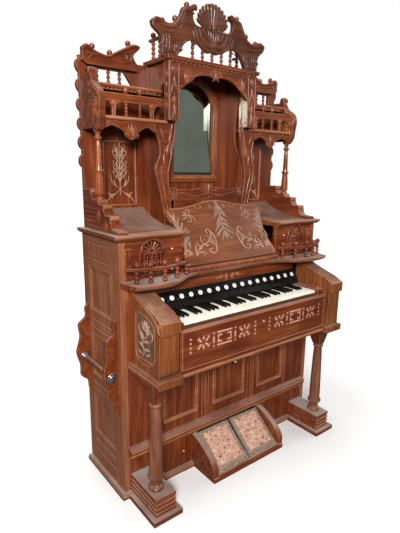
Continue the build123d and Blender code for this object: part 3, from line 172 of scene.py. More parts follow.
def walnut(name, run, colours, roughness=0.34, dust=0.5):
    """Varnished walnut with its grain along one axis: satin, darker in bands, dusty where it lies flat."""
    material, tree, shader, place = new_material(name, roughness, IOR=1.5, Specular_IOR_Level=0.35, Coat_Weight=0.2,
                                                 Coat_Roughness=0.16)

    def grained(width, length):
        """The place, drawn out along the grain: one unit of it is this wide and this long, in millimetres."""
        scale = [1000 / width] * 3
        scale["XYZ".index(run)] = 1000 / length
        return put(tree, "ShaderNodeMapping", {"Vector": place, "Scale": scale}).outputs[0]

    figure = noise(tree, grained(FIGURE_MM, FIGURE_RUN_MM), 1, 4, 0.8)
    streak = noise(tree, grained(STREAK_MM, STREAK_RUN_MM), 1, 3)
    blotch = noise(tree, place, 5, 3)
    depth = arithmetic(tree, "MULTIPLY", figure, FIGURE_SHARE)
    depth = arithmetic(tree, "MULTIPLY_ADD", streak, STREAK_SHARE, depth)
    depth = arithmetic(tree, "SUBTRACT", depth, BLOTCH_MEAN)
    depth = arithmetic(tree, "MULTIPLY_ADD", blotch, BLOTCH_SHARE, depth)
    wood = ramp(tree, depth, list(zip((0.24, 0.5, 0.76), colours)))
    upward = put(tree, "ShaderNodeSeparateXYZ",
                 {0: put(tree, "ShaderNodeNewGeometry").outputs["Normal"]}).outputs["Z"]
    layer = arithmetic(tree, "MULTIPLY", ranged(tree, upward, LIES_FLAT, 1, 0, dust),
                       ranged(tree, blotch, 0.3, 0.62, 0.35))
    tree.links.new(blend_colours(tree, layer, wood, DUST), shader.inputs["Base Color"])
    rough = arithmetic(tree, "MULTIPLY_ADD", figure, 0.22, roughness - 0.11)
    rough = arithmetic(tree, "MULTIPLY_ADD", layer, 0.5, rough)
    tree.links.new(rough, shader.inputs["Roughness"])
    press(tree, shader, streak, 0.25, 0.0006)
    return material


RED_BROWN = ("#371407", "#692d14", "#925028")
PANEL_BROWN = ("#55301d", "#854e33", "#a36b49")
# Edges and moulding lines: paler partly from real wear and partly as a painted highlight.
WORN_AND_HIGHLIT_BROWN = ("#6e3a22", "#955c3c", "#b98060")
CARVED_BROWN = ("#481d0e", "#7e3f22", "#a9683f")
DUSTY_BROWN = ("#53392a", "#7f5f4b", "#ab8b75")
# Carved sprays and flowers are painted pale along their lines as a painted highlight on their ridges.
CARVING_HIGHLIGHT_BROWN = ("#7a5646", "#a37f69", "#c2a08b")

walnut_up = walnut("varnished_walnut_upright_grain", "Z", RED_BROWN)
walnut_across = walnut("varnished_walnut_level_grain", "X", RED_BROWN)
walnut_deep = walnut("varnished_walnut_front_to_back_grain", "Y", RED_BROWN)
walnut_arm = walnut("walnut_of_the_arms", "Z", ("#45200f", "#78401f", "#9c6238"), roughness=0.3, dust=0.3)
walnut_side = walnut("faded_walnut_of_the_sides", "Z", PANEL_BROWN, roughness=0.45)
walnut_sunk = walnut("dusty_walnut_in_sunk_fields", "Z", ("#41291c", "#664a39", "#86695a"), roughness=0.6, dust=0.3)
walnut_dusty = walnut("walnut_of_dusty_ledges", "X", ("#40190c", "#74371f", "#9a5c38"), roughness=0.42, dust=0.95)
# The crest's walnut is darker than the rest as painted shade, for a top that stands in shade.
walnut_crest_in_painted_shade = walnut("walnut_of_the_crest_darkened_as_painted_shade", "X", ("#2a110a", "#532a18", "#784628"), dust=0.4)
# The canopy's walnut, also on the side brackets' flanks, is darkened as painted shade.
walnut_canopy_in_painted_shade = walnut("walnut_of_the_canopy_darkened_as_painted_shade", "X", ("#34140b", "#622d18", "#8a4a29"), dust=0.4)
# The edge finish: real wear on arrises, plus a painted highlight on arrises, beads and moulding lines.
walnut_worn_and_highlit_edge = walnut("walnut_worn_and_painted_highlight_on_edges", "X", WORN_AND_HIGHLIT_BROWN, roughness=0.4, dust=0.3)
walnut_red = walnut("polished_red_walnut", "Z", ("#56220e", "#84421f", "#a96236"), roughness=0.2, dust=0.2)
walnut_column = walnut("walnut_of_the_columns", "Z", ("#45251a", "#784732", "#a36f55"), roughness=0.3, dust=0.3)
walnut_turned = walnut("turned_red_walnut", "Z", ("#3a120a", "#712c18", "#9c4e30"), roughness=0.22, dust=0.15)
walnut_carved = walnut("carved_walnut", "Z", CARVED_BROWN, roughness=0.32, dust=0.7)
walnut_desk = walnut("walnut_of_the_desk", "X", ("#43200e", "#6c371a", "#8a5230"), roughness=0.38, dust=0.3)
# This carving finish is a painted highlight: pale where relief would catch the light.
highlit_carving = walnut("carving_pale_as_painted_highlight", "Z", CARVING_HIGHLIGHT_BROWN, roughness=0.5, dust=0.3)
dusty_carving = walnut("carving_with_dust_in_it", "Z", DUSTY_BROWN, roughness=0.6, dust=0.6)
back_wood = walnut("unvarnished_back_boards", "Z", ("#5a4030", "#7a5a44", "#94745a"), roughness=0.7, dust=0.2)


def plain_finish(name, colour, second, roughness, grain_mm, bump=0.1, **sockets):
    """A finish with a fine mottle between two close colours."""
    material, tree, shader, place = new_material(name, roughness, **sockets)
    mottle = noise(tree, place, 1000 / grain_mm, 3)
    spread = ranged(tree, mottle, 0.35, 0.65)
    tree.links.new(blend_colours(tree, spread, colour, second), shader.inputs["Base Color"])
    rough = arithmetic(tree, "MULTIPLY_ADD", mottle, 0.2, roughness - 0.1)
    tree.links.new(rough, shader.inputs["Roughness"])
    press(tree, shader, mottle, bump, 0.0004)
    return material


ebonised = plain_finish("ebonised_and_polished_wood", "#0d0b0a", "#181411", 0.3, 40, bump=0.0, Specular_IOR_Level=0.2)
ivory = plain_finish("ivory_key_heads", "#fbf6ea", "#f1e8d2", 0.3, 30, Subsurface_Weight=0.03)
stop_face = plain_finish("porcelain_stop_faces", "#efe9e4", "#d9cfc6", 0.25, 8)
# The mirror's silver is tinted green: partly the tint of old glass, partly a painted reflection of a green room.
glass = plain_finish("silvered_glass_tinted_as_painted_reflection", "#dfead8", "#c8d6be", 0.05, 200, bump=0.0, Metallic=1.0)
felt = plain_finish("pink_cloth", "#e3a593", "#c98576", 0.9, 4)
key_felt_wood = plain_finish("key_frame_wood", "#4a2a1a", "#5c3826", 0.6, 8)
pedal_border = plain_finish("worn_pedal_border", "#a08a76", "#75604e", 0.55, 9)
bar_wood = plain_finish("polished_maple_bar", "#8e4a18", "#6c3410", 0.16, 20, Coat_Weight=0.6)
nickel = plain_finish("nickel_plated_screw", "#cfcacd", "#9a9597", 0.25, 6, Metallic=1.0)
CARPET_FLOWER_MM, CARPET_PETAL_MM, CARPET_TUFT_MM = 20, 8, 2.2
CARPET_COLOURS = ((0.5, "#742a29"), (0.62, "#b14f4c"), (0.71, "#c98478"), (0.78, "#d2bd9c"), (0.86, "#b0524e"),
                  (0.97, "#cdb896"))


def carpet_finish():
    """Cut wool pile with red and pink flowers on a cream ground, dull and a little worn."""
    material, tree, shader, place = new_material("floral_wool_carpet", 0.92, Sheen_Weight=0.25, Sheen_Roughness=0.6)
    flowers = put(tree, "ShaderNodeTexVoronoi", {"Vector": place, "Scale": 1000 / CARPET_FLOWER_MM,
                                                 "Randomness": 0.75}, feature="SMOOTH_F1").outputs["Distance"]
    petals = noise(tree, place, 1000 / CARPET_PETAL_MM, 2)
    pile = noise(tree, place, 1000 / CARPET_TUFT_MM, 1)
    mixed = arithmetic(tree, "MULTIPLY_ADD", petals, 0.9, arithmetic(tree, "MULTIPLY", flowers, 0.9))
    worn = blend_colours(tree, ranged(tree, pile, 0.45, 0.7, 0, 0.35), ramp(tree, mixed, CARPET_COLOURS), "#8d7b6d")
    tree.links.new(worn, shader.inputs["Base Color"])
    press(tree, shader, pile, 0.6, 0.0012)
    return material


floral_carpet = carpet_finish()


def floor():
    """A pale plain studio floor."""
    material, tree, shader, place = new_material("pale_painted_floor", 0.6)
    mottle = noise(tree, place, 3)
    tree.links.new(blend_colours(tree, mottle, "#fbfaf9", "#f8f7f5"), shader.inputs["Base Color"])
    # the studio's far floor is lit up to the white of the background
    away = put(tree, "ShaderNodeVectorMath", {0: place}, operation="LENGTH").outputs["Value"]
    shader.inputs["Emission Color"].default_value = (1, 1, 1, 1)
    tree.links.new(ranged(tree, away, 1, 3.6), shader.inputs["Emission Strength"])
    # like the cut-out photograph, the floor is pale to look at and throws little light back on the organ
    dull = put(tree, "ShaderNodeBsdfDiffuse", {"Color": linear("#6a6460")}).outputs[0]
    looked_at = put(tree, "ShaderNodeLightPath").outputs["Is Camera Ray"]
    mixed = put(tree, "ShaderNodeMixShader", {0: looked_at, 1: dull, 2: shader.outputs[0]}).outputs[0]
    tree.links.new(mixed, tree.nodes["Material Output"].inputs["Surface"])
    shape = bmesh.new()
    bmesh.ops.create_grid(shape, x_segments=2, y_segments=2, size=14)
    ground = finished("studio_floor", shape, material)


def finished(name, shape, *materials, sharp=40):
    """An object from a bmesh, with smooth shading up to an angle in degrees."""
    mesh = bpy.data.meshes.new(name)
    shape.to_mesh(mesh)
    shape.free()
    mesh.shade_smooth()
    mesh.set_sharp_from_angle(angle=math.radians(sharp))
    for material in materials:
        mesh.materials.append(material)
    piece = bpy.data.objects.new(name, mesh)
    bpy.context.scene.collection.objects.link(piece)
    return piece


def grown_mesh(source):
    """The mesh of an object with its modifiers at work."""
    ready = bpy.context.evaluated_depsgraph_get()
    return bpy.data.meshes.new_from_object(source.evaluated_get(ready), preserve_all_data_layers=True,
                                           depsgraph=ready)


def apply_modifiers(piece):
    """Applies a piece's modifiers to its mesh."""
    mesh = grown_mesh(piece)
    piece.modifiers.clear()
    piece.data = mesh


ARRIS_MM, ARRIS_ANGLE, SHARP_ANGLE, CARVED_SHARP_ANGLE = 1.2, 38, 40, 50
WELD, FLAT_ANGLE = 0.00002, 0.5


def ease_arrises(piece, radius, segments, clamp=True):
    """Rounds a piece's arrises in its second material, and keeps the large faces between them flat."""
    easing = piece.modifiers.new("eased_arris", "BEVEL")
    easing.width = radius * MM
    easing.segments = segments
    easing.limit_method = "ANGLE"
    easing.angle_limit = math.radians(ARRIS_ANGLE)
    easing.use_clamp_overlap = clamp
    easing.material = 1
    apply_modifiers(piece)
    piece.data.set_sharp_from_angle(angle=math.radians(SHARP_ANGLE))
    levelling = piece.modifiers.new("flat_faces", "WEIGHTED_NORMAL")
    levelling.keep_sharp = True
    levelling.weight = 100
    apply_modifiers(piece)


def eased(node, material):
    """A copy of a solid with its arrises eased by hand, worn lighter and with a painted highlight on them, which
    stands for it.
    """
    shape = bmesh.new()
    shape.from_mesh(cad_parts[node].data)
    bmesh.ops.remove_doubles(shape, verts=shape.verts, dist=WELD)
    bmesh.ops.dissolve_limit(shape, angle_limit=math.radians(FLAT_ANGLE), verts=shape.verts, edges=shape.edges)
    piece = finished(node + "_wood", shape, material, walnut_worn_and_highlit_edge)
    ease_arrises(piece, ARRIS_MM, 2, clamp=False)
    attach(piece, "case")
    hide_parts(node)


def bevelled(piece, radius=ARRIS_MM, body="case", segments=2):
    """Eases the arrises of a finished piece, whose second material is on them."""
    ease_arrises(piece, radius, segments)
    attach(piece, body)
    return piece


# Where things are, in millimetres; depths are measured back from the case front
FRONT = -54.5
KEYS_Z, SHELF_Z, CASE_TOP_Z = 830, 987, 1172
LOWER_SHELF_Z, UPPER_SHELF_Z, CORNICE_Z, CREST_Z = 1640.3, 1771.3, 1888, 1905
CASE_HALF, ARM_OUTER, KEYS_HALF = 602, 560, 421.2
TIER_DEPTH, BOARD_DEPTH, CANOPY_DEPTH, CREST_DEPTH = 190, 330, 150, 172
NAME_FRONT = 19


def at(x, y, z):
    """A place from the middle, the case front and the floor, in metres."""
    return Vector((x, FRONT + y, z)) * MM


class Face:
    """A flat face to carve on: a corner, the direction across it and the direction up it."""

    def __init__(self, corner, across, up):
        self.corner, self.across, self.up = corner, Vector(across), Vector(up)
        self.out = self.across.cross(self.up)

    def place(self, u, v, lift=0.0):
        return self.corner + (self.across * u + self.up * v + self.out * lift) * MM


def front_face(depth):
    """The face of a board at a depth, seen by the player."""
    return Face(at(0, depth, 0), (1, 0, 0), (0, 0, 1))


def flank(x):
    """A face at the distance x from the middle, looking away from it."""
    return Face(at(x, 0, 0), (0, math.copysign(1, x), 0), (0, 0, 1))


DESK_RUN, DESK_RISE, DESK_FOOT_Z = 166, 245, 1017
DESK_LENGTH = math.hypot(DESK_RUN, DESK_RISE)
desk_face = Face(at(0, -20, DESK_FOOT_Z), (1, 0, 0), (0, DESK_RUN / DESK_LENGTH, DESK_RISE / DESK_LENGTH))


def new_tree(name, **inputs):
    """A Geometry Nodes tree with named inputs."""
    tree = bpy.data.node_groups.new(name, "GeometryNodeTree")
    tree.interface.new_socket("Geometry", in_out="INPUT", socket_type="NodeSocketGeometry")
    for label, kind in inputs.items():
        tree.interface.new_socket(label, in_out="INPUT", socket_type="NodeSocket" + kind)
    tree.interface.new_socket("Geometry", in_out="OUTPUT", socket_type="NodeSocketGeometry")
    return tree, put(tree, "NodeGroupInput").outputs


def end_tree(tree, geometry, finish):
    """Closes a tree with real geometry in its finish."""
    whole = put(tree, "GeometryNodeRealizeInstances", {"Geometry": geometry}).outputs[0]
    dressed = put(tree, "GeometryNodeSetMaterial", {"Geometry": whole, "Material": finish}).outputs[0]
    put(tree, "NodeGroupOutput", {0: dressed})
    return tree


def ridge_tree():
    """Sweeps a half round along smooth lines, as wide as each line's radius, standing out of a face."""
    tree, given = new_tree("carved_ridges", Facing="Vector", Relief="Float", Steps="Int", Finish="Material")
    smooth = put(tree, "GeometryNodeCurveSplineType", {"Curve": given["Geometry"]}, spline_type="CATMULL_ROM")
    fine = put(tree, "GeometryNodeSetSplineResolution", {0: smooth.outputs[0], "Resolution": given["Steps"]})
    faced = put(tree, "GeometryNodeSetCurveNormal", {"Curve": fine.outputs[0], "Normal": given["Facing"]},
                mode="FREE")
    half_round = put(tree, "GeometryNodeCurveArc", {"Resolution": 5, "Start Angle": -math.pi / 2,
                                                    "Sweep Angle": math.pi, "Connect Center": True},
                     mode="RADIUS")
    flatter = put(tree, "ShaderNodeCombineXYZ", {0: given["Relief"], 1: 1.0, 2: 1.0})
    profile = put(tree, "GeometryNodeTransform", {"Geometry": half_round.outputs[0], "Scale": flatter.outputs[0]})
    width = put(tree, "GeometryNodeInputRadius")
    swept = put(tree, "GeometryNodeCurveToMesh", {"Curve": faced.outputs[0], "Profile Curve": profile.outputs[0],
                                                  "Scale": width.outputs[0], "Fill Caps": True})
    return end_tree(tree, swept.outputs[0], given["Finish"])


def set_out_tree():
    """Puts a pattern piece on every point, as large as the point's size says."""
    tree, given = new_tree("set_out_on_points", Pattern="Object", Finish="Material")
    pattern = put(tree, "GeometryNodeObjectInfo", {"Object": given["Pattern"]}).outputs["Geometry"]
    size = put(tree, "GeometryNodeInputNamedAttribute", {"Name": "size"}, data_type="FLOAT_VECTOR").outputs[0]
    many = put(tree, "GeometryNodeInstanceOnPoints", {"Points": given["Geometry"], "Instance": pattern,
                                                      "Scale": size})
    return end_tree(tree, many.outputs[0], given["Finish"])


RIDGES = ridge_tree()
SET_OUT = set_out_tree()


def grown(name, source, tree, values):
    """Runs a tree on a source object and keeps the result as a plain mesh that rides on the case."""
    bpy.context.scene.collection.objects.link(source)
    modifier = source.modifiers.new("grow", "NODES")
    modifier.node_group = tree
    for socket in tree.interface.items_tree:
        if socket.in_out == "INPUT" and socket.name in values:
            modifier[socket.identifier] = values[socket.name]
    mesh = grown_mesh(source)
    bpy.data.objects.remove(source)
    mesh.name = name
    mesh.shade_smooth()
    mesh.set_sharp_from_angle(angle=math.radians(CARVED_SHARP_ANGLE))
    piece = bpy.data.objects.new(name, mesh)
    bpy.context.scene.collection.objects.link(piece)
    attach(piece, "case")
    return piece


ROOTED_MM = 0.3     # how far a carved ridge starts inside its board


def carve(name, face, lines, finish, relief=0.6, steps=5):
    """Carved ridges on a face: each line holds (u, v, half width) in millimetres."""
    curve = bpy.data.curves.new(name, "CURVE")
    curve.dimensions = "3D"
    for line in lines:
        spline = curve.splines.new("POLY")
        spline.points.add(len(line) - 1)
        for point, (u, v, radius) in zip(spline.points, line):
            point.co = (*face.place(u, v, -ROOTED_MM), 1)
            point.radius = radius * MM
    return grown(name, bpy.data.objects.new(name, curve), RIDGES,
                 {"Facing": tuple(face.out), "Relief": relief, "Steps": steps, "Finish": finish})


def mirrored(lines, hand):
    """The lines as they are for the right hand, or their mirror image for the left one."""
    return [[(hand * u, v, radius) for u, v, radius in line] for line in lines]


def both(lines):
    """The lines and their mirror image in the middle."""
    return lines + mirrored(lines, -1)


def carve_flanks(name, distance, lines, finish, relief, steps):
    """Carves the faces that look out of both sides of the organ, where u is the depth behind the case front."""
    for hand, side in SIDES:
        carve(f"{side}_{name}", flank(hand * distance), mirrored(lines, hand), finish, relief, steps)


def moved(lines, du, dv, size=1.0, thin=1.0):
    """The lines scaled, thinned and moved."""
    return [[(du + u * size, dv + v * size, radius * size * thin) for u, v, radius in line] for line in lines]


def even(points, radius):
    """A line of one width."""
    return [(u, v, radius) for u, v in points]


def level(v, radius, *us):
    """A level line of one width through places across a face."""
    return even([(u, v) for u in us], radius)


def upright(u, radius, *vs):
    """An upright line of one width through places up a face."""
    return even([(u, v) for v in vs], radius)


def rectangle(left, right, low, high, radius):
    """The four lines of a rectangle."""
    return [upright(left, radius, low, high), upright(right, radius, low, high), level(low, radius, left, right),
            level(high, radius, left, right)]


def corners(left, right, low, high):
    """The four corners of a rectangle."""
    return [(left, low), (right, low), (right, high), (left, high)]


def arch(u, v, half_width, rise, steps):
    """Points over half an ellipse, from the foot at +half_width to the other."""
    return [(u + half_width * math.cos(math.pi * k / steps), v + rise * math.sin(math.pi * k / steps))
            for k in range(steps + 1)]


def tapered(points, start, end):
    """A line that goes from one half width to another."""
    last = len(points) - 1
    return [(u, v, start + (end - start) * i / last) for i, (u, v) in enumerate(points)]


def stroke(points, radius):
    """A line that swells in the middle and thins out at both ends."""
    last = len(points) - 1
    return [(u, v, radius * (0.25 + 0.75 * math.sin(math.pi * (0.12 + 0.76 * i / last))))
            for i, (u, v) in enumerate(points)]


def leaf(u, v, angle, length, width, bend=0.0):
    """A pointed leaf that grows from a point at an angle in degrees and bends on its way."""
    line = []
    for step in range(7):
        share = step / 6
        line.append((u, v, width / 2 * (0.14 + 0.86 * math.sin(math.pi * min(1, share ** 0.75)))
                     * (1 if step < 6 else 0.5)))
        heading = math.radians(angle + bend * share)
        u, v = u + math.cos(heading) * length / 6, v + math.sin(heading) * length / 6
    return line


def scroll(u, v, angle, size, hand, radius, turns=1.4):
    """A volute that leaves a point at an angle and winds up to one hand, with a round eye."""
    line = []
    steps = 16
    heading = math.radians(angle)
    for step in range(steps + 1):
        share = step / steps
        line.append((u, v, radius * (0.55 + 0.45 * share) if step < steps - 1 else radius * 1.7))
        heading += hand * turns * 2 * math.pi / steps
        stride = size * 1.7 * math.pi * turns / steps * (1 - 0.8 * share)
        u, v = u + math.cos(heading) * stride, v + math.sin(heading) * stride
    return line


def bud(u, v, radius):
    """A round bud."""
    return [(u - radius * 0.5, v, radius * 0.6), (u, v, radius), (u + radius * 0.5, v, radius * 0.6)]


def palmette(u, v, angle, length, count, spread, width):
    """A fan of leaves."""
    lines = []
    for step in range(count):
        off = -1 + 2 * step / (count - 1)
        lines.append(leaf(u, v, angle + spread * off, length * (1 - 0.28 * off * off), width, -22 * off))
    return lines


def rounded_outline(outline, cuts=4):
    """An outline of (height, radius) made smooth between its corners."""
    smooth = []
    for index in range(len(outline) - 1):
        before = outline[max(index - 1, 0)]
        here, there = outline[index], outline[index + 1]
        after = outline[min(index + 2, len(outline) - 1)]
        for cut in range(cuts):
            t = cut / cuts
            smooth.append(tuple(0.5 * (2 * here[k] + (there[k] - before[k]) * t
                                       + (2 * before[k] - 5 * here[k] + 4 * there[k] - after[k]) * t * t
                                       + (3 * here[k] - before[k] - 3 * there[k] + after[k]) * t ** 3)
                                for k in (0, 1)))
    return smooth + [outline[-1]]


def lathe(shape, outline, sides, base, turn=None, finish=0):
    """Turns an outline of (height, radius) round an upright axis at a place in metres."""
    turn = turn or Matrix.Identity(3)
    rings = []
    for height, radius in outline:
        ring = []
        for side in range(sides):
            around = 2 * math.pi * side / sides
            spot = Vector((math.cos(around) * radius, math.sin(around) * radius, height)) * MM
            ring.append(shape.verts.new(base + turn @ spot))
        rings.append(ring)
    for low, high in zip(rings, rings[1:]):
        for side in range(sides):
            other = (side + 1) % sides
            shape.faces.new((low[side], low[other], high[other], high[side])).material_index = finish
    shape.faces.new(list(reversed(rings[0]))).material_index = finish
    shape.faces.new(rings[-1]).material_index = finish


patterns = []


def turned(name, outline, sides=16, cuts=4, tip=None):
    """A turned pattern piece with its foot at the origin, tipped over by (degrees, axis)."""
    shape = bmesh.new()
    lathe(shape, rounded_outline(outline, cuts) if cuts else outline, sides, Vector())
    piece = finished(name, shape, walnut_up)
    if tip:
        piece.data.transform(Matrix.Rotation(math.radians(tip[0]), 4, tip[1]))
    patterns.append(piece)
    return piece


def at_origin(piece):
    """Makes a pattern of a piece that was built at the case front."""
    piece.data.transform(Matrix.Translation(-at(0, 0, 0)))
    patterns.append(piece)
    return piece


def row(name, pattern, places, finish):
    """Copies of a pattern piece at places, each (x, y, z) or (x, y, z, size) in millimetres."""
    mesh = bpy.data.meshes.new(name)
    mesh.from_pydata([at(*place[:3]) for place in places], [], [])
    sizes = mesh.attributes.new("size", "FLOAT_VECTOR", "POINT")
    for item, place in zip(sizes.data, places):
        size = place[3] if len(place) > 3 else 1
        item.vector = size if isinstance(size, tuple) else (size, size, size)
    return grown(name, bpy.data.objects.new(name, mesh), SET_OUT, {"Pattern": pattern, "Finish": finish})


def pair(x, *rest):
    """A place on the left and the same place on the right."""
    return [(hand * x, *rest) for hand, side in SIDES]


def beads(height, count, waist, swell):
    """Outline of a spindle of round beads."""
    pitch = height / count
    outline = [(0, waist * 1.3)]
    for step in range(count):
        for share, size in ((0.06, 0.0), (0.2, 0.62), (0.36, 0.95), (0.5, 1.0), (0.64, 0.95), (0.8, 0.62),
                            (0.94, 0.0)):
            outline.append(((step + share) * pitch, waist + (swell - waist) * size))
    outline.append((height, waist * 1.3))
    return outline


def ball(radius):
    """Outline of a ball on a short neck."""
    neck = 0.45 * radius
    outline = [(-1, neck), (radius * 0.12, neck)]
    for step in range(9):
        around = math.pi * (0.14 + 0.86 * step / 8)
        outline.append((radius * (1.02 - math.cos(around)), max(radius * math.sin(around), 0.15)))
    return outline


def drawn_out(shape, points, travel):
    """A face on some points, drawn out into a solid by a way in millimetres."""
    cap = shape.faces.new([shape.verts.new(point) for point in points])
    drawn = bmesh.ops.extrude_face_region(shape, geom=[cap])["geom"]
    bmesh.ops.translate(shape, verts=[v for v in drawn if isinstance(v, bmesh.types.BMVert)],
                        vec=Vector(travel) * MM)
    bmesh.ops.recalc_face_normals(shape, faces=shape.faces)


def sawn(name, points, near, far, finish):
    """A board sawn to an outline in x and z, between two depths, with eased arrises."""
    shape = bmesh.new()
    drawn_out(shape, [at(x, near, z) for x, z in points], (0, far - near, 0))
    return bevelled(finished(name, shape, finish, walnut_worn_and_highlit_edge))


def spline_points(points, cuts=6):
    """Smooth points through corners in two dimensions."""
    return rounded_outline([tuple(p) for p in points], cuts)


def block(shape, low, high):
    """A box between two corners in millimetres, added to a shape."""
    low, high = at(*low), at(*high)
    for vert in bmesh.ops.create_cube(shape, size=1)["verts"]:
        vert.co = Vector([low[k] if vert.co[k] < 0 else high[k] for k in range(3)])


CASE_WOOD = {
    walnut_side: ("left_side", "right_side"),
    back_wood: ("back_boards",),
    walnut_dusty: ("plinth_blocks", "base_moulding", "gallery_shelf", "case_top", "pedal_box"),
    walnut_up: ("lower_front", "kneeboard", "arm_consoles", "backboard", "centre_sides"),
    walnut_red: ("mirror_frame",),
    walnut_across: ("fret_panel", "key_bed", "name_board", "upper_front", "arch_grilles", "side_pediments",
                    "side_arcades", "side_shelves", "centre_cornice"),
    walnut_crest_in_painted_shade: ("crest",),
    walnut_canopy_in_painted_shade: ("centre_front", "side_brackets"),
    walnut_desk: ("music_desk",),
    walnut_deep: ("key_blocks", "stepped_consoles", "cove", "side_handles"),
    walnut_arm: ("left_arm", "right_arm"),
}

make_camera()
for finish_material, nodes in CASE_WOOD.items():
    for node_name in nodes:
        eased(node_name, finish_material)
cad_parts["stop_board"].data.materials.clear()
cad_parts["stop_board"].data.materials.append(ebonised)


# Turned work
column = turned("column_pattern", ((0, 33), (11, 33), (17, 27), (23, 20.5), (34, 23), (52, 29.5), (55, 35), (65, 35),
                                   (68, 29.5), (120, 28.6), (180, 27.4), (260, 25.6), (330, 23.6), (365, 22),
                                   (381, 21), (385, 27), (394, 27), (400, 20)), 32)
columns = row("turned_columns", column, pair(528, -140, 105), walnut_column)
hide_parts("columns")
POST_FOOT, POST_H = CASE_TOP_Z + 128, LOWER_SHELF_Z - 64 - (CASE_TOP_Z + 128)
post = turned("post_pattern", ((0, 17), (8, 18), (14, 12), (20, 17), (28, 19), (70, 17.4), (112, 15), (116, 20),
                               (124, 20), (128, 14), (POST_H - 60, 11.4), (POST_H - 36, 10), (POST_H - 30, 16),
                               (POST_H - 22, 16), (POST_H - 18, 10), (POST_H, 14)), 24)
posts = row("turned_posts", post, pair(575, 207, POST_FOOT), walnut_red)
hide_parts("side_posts")

GALLERY_POSTS = ((560, 63), (505, 80), (441, 85), (372, 71), (305, 44))
RAIL_Z, RAIL_T = SHELF_Z + 50, 12
spindle = turned("spindle_pattern", beads(50, 3, 5, 10), 16, 0)
small_ball = turned("ball_pattern", ball(12.5), 16, 0)
gallery_spots = [spot for x, y in GALLERY_POSTS for spot in pair(x, -y)]
spindles = row("gallery_spindles", spindle, [(x, y, SHELF_Z) for x, y in gallery_spots], walnut_turned)
row("gallery_balls", small_ball, [(x, y, RAIL_Z + RAIL_T) for x, y in gallery_spots], walnut_turned)
rail_shape = bmesh.new()
for hand, side in SIDES:
    inner = spline_points([(592, 30), (560, 56), (505, 73), (441, 78), (372, 64), (305, 37), (286, 26)])
    outer = spline_points([(594, 44), (560, 70), (505, 87), (441, 92), (372, 78), (305, 51), (284, 38)])
    drawn_out(rail_shape, [at(hand * x, -y, RAIL_Z) for x, y in inner + outer[::-1]], (0, 0, RAIL_T))
rails = bevelled(finished("gallery_rails", rail_shape, walnut_across, walnut_worn_and_highlit_edge), 3.5, segments=3)
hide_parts("galleries")
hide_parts("galleries")

CREST_RAIL_X, CREST_RAIL_Z = 252, CREST_Z + 80
top_spindle = turned("top_spindle_pattern", beads(80, 4, 5, 9.6), 16, 0)
top_spots = [(hand * CREST_RAIL_X, y) for hand, side in SIDES for y in (235, 290)]
top_spindles = row("cornice_spindles", top_spindle, [(x, y, CREST_Z) for x, y in top_spots], walnut_turned)
row("cornice_balls", small_ball, [(x, y, CREST_RAIL_Z + RAIL_T) for x, y in top_spots], walnut_turned)
top_rail_shape = bmesh.new()
for hand, side in SIDES:
    block(top_rail_shape, (hand * CREST_RAIL_X - 8, 194, CREST_RAIL_Z),
          (hand * CREST_RAIL_X + 8, 320, CREST_RAIL_Z + RAIL_T))
top_rails = bevelled(finished("cornice_rails", top_rail_shape, walnut_deep, walnut_worn_and_highlit_edge), 3)
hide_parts("crest_gallery")
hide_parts("crest_gallery")

arcade_spindle = turned("arcade_spindle_pattern", beads(58, 4, 4.2, 9), 16, 0)
ARCADE_X = (443, 376)
row("arcade_spindles", arcade_spindle, [spot for x in ARCADE_X for spot in pair(x, 205, LOWER_SHELF_Z)],
    walnut_turned)
row("arcade_balls", small_ball, [spot for x in ARCADE_X for spot in pair(x, 205, LOWER_SHELF_Z + 92)],
    walnut_turned)
window_baluster = turned("window_baluster_pattern", beads(59, 3, 4.2, 8.4), 16, 0)
row("window_balusters", window_baluster, [spot for step in range(3) for spot in
                                          pair(540 - 162 * (step + 0.6) / 3, 340, UPPER_SHELF_Z + 16)],
    walnut_turned)
row("pediment_balls", small_ball, [spot for x, z in ((535, 24), (455, 10), (366, 62))
                                   for spot in pair(x, 318, CORNICE_Z + z)], walnut_turned)
CREST_HALF, CREST_H, CREST_BALL_DEPTH = 327, 260, 183
row("crest_balls", small_ball, [spot for across, up in ((0.84, 0.478), (0.64, 0.558), (0.45, 0.81)) for spot in
                                pair(CREST_HALF * across, CREST_BALL_DEPTH, CREST_Z + CREST_H * up)], walnut_turned)
crest_spindle = turned("crest_spindle_pattern", beads(62, 4, 4.2, 8.5), 16, 0)
row("crest_spindles", crest_spindle,
    [spot for across, up in ((0.174, 0.27), (0.346, 0.36)) for spot in
     pair(CREST_HALF * across, CREST_BALL_DEPTH, CREST_Z, (1, 1, up * CREST_H / 62))]
    + [(0, CREST_BALL_DEPTH, CREST_Z)], walnut_turned)


# Keys
NATURALS, NATURAL_PITCH = 36, 23.4
SHARP_AFTER = (0, 1, 2, 4, 5)       # naturals of an octave from F with a sharp after them
key_shape = bmesh.new()
block(key_shape, (-11.15, -173, 0), (11.15, -30, 14))
natural = at_origin(bevelled(finished("natural_pattern", key_shape, ivory, ivory), 1.6, segments=3))
naturals = row("natural_keys", natural, [(-KEYS_HALF + NATURAL_PITCH * (index + 0.5), 0, KEYS_Z - 14)
                                         for index in range(NATURALS)], ivory)
frame_shape = bmesh.new()
block(frame_shape, (-KEYS_HALF, -167, KEYS_Z - 34), (KEYS_HALF, -30, KEYS_Z - 14.4))
key_frame = bevelled(finished("key_frame", frame_shape, key_felt_wood, key_felt_wood), 0.8)
sharp_shape = bmesh.new()
block(sharp_shape, (-5.5, -94, 0), (5.5, 0, 11.4))
for vert in sharp_shape.verts:
    if vert.co.z > 0.005:
        vert.co.x *= 0.72
        if vert.co.y < at(0, -50, 0).y:
            vert.co.y += 0.006
sharp_key = at_origin(bevelled(finished("sharp_pattern", sharp_shape, ebonised, ebonised), 1.3, segments=3))
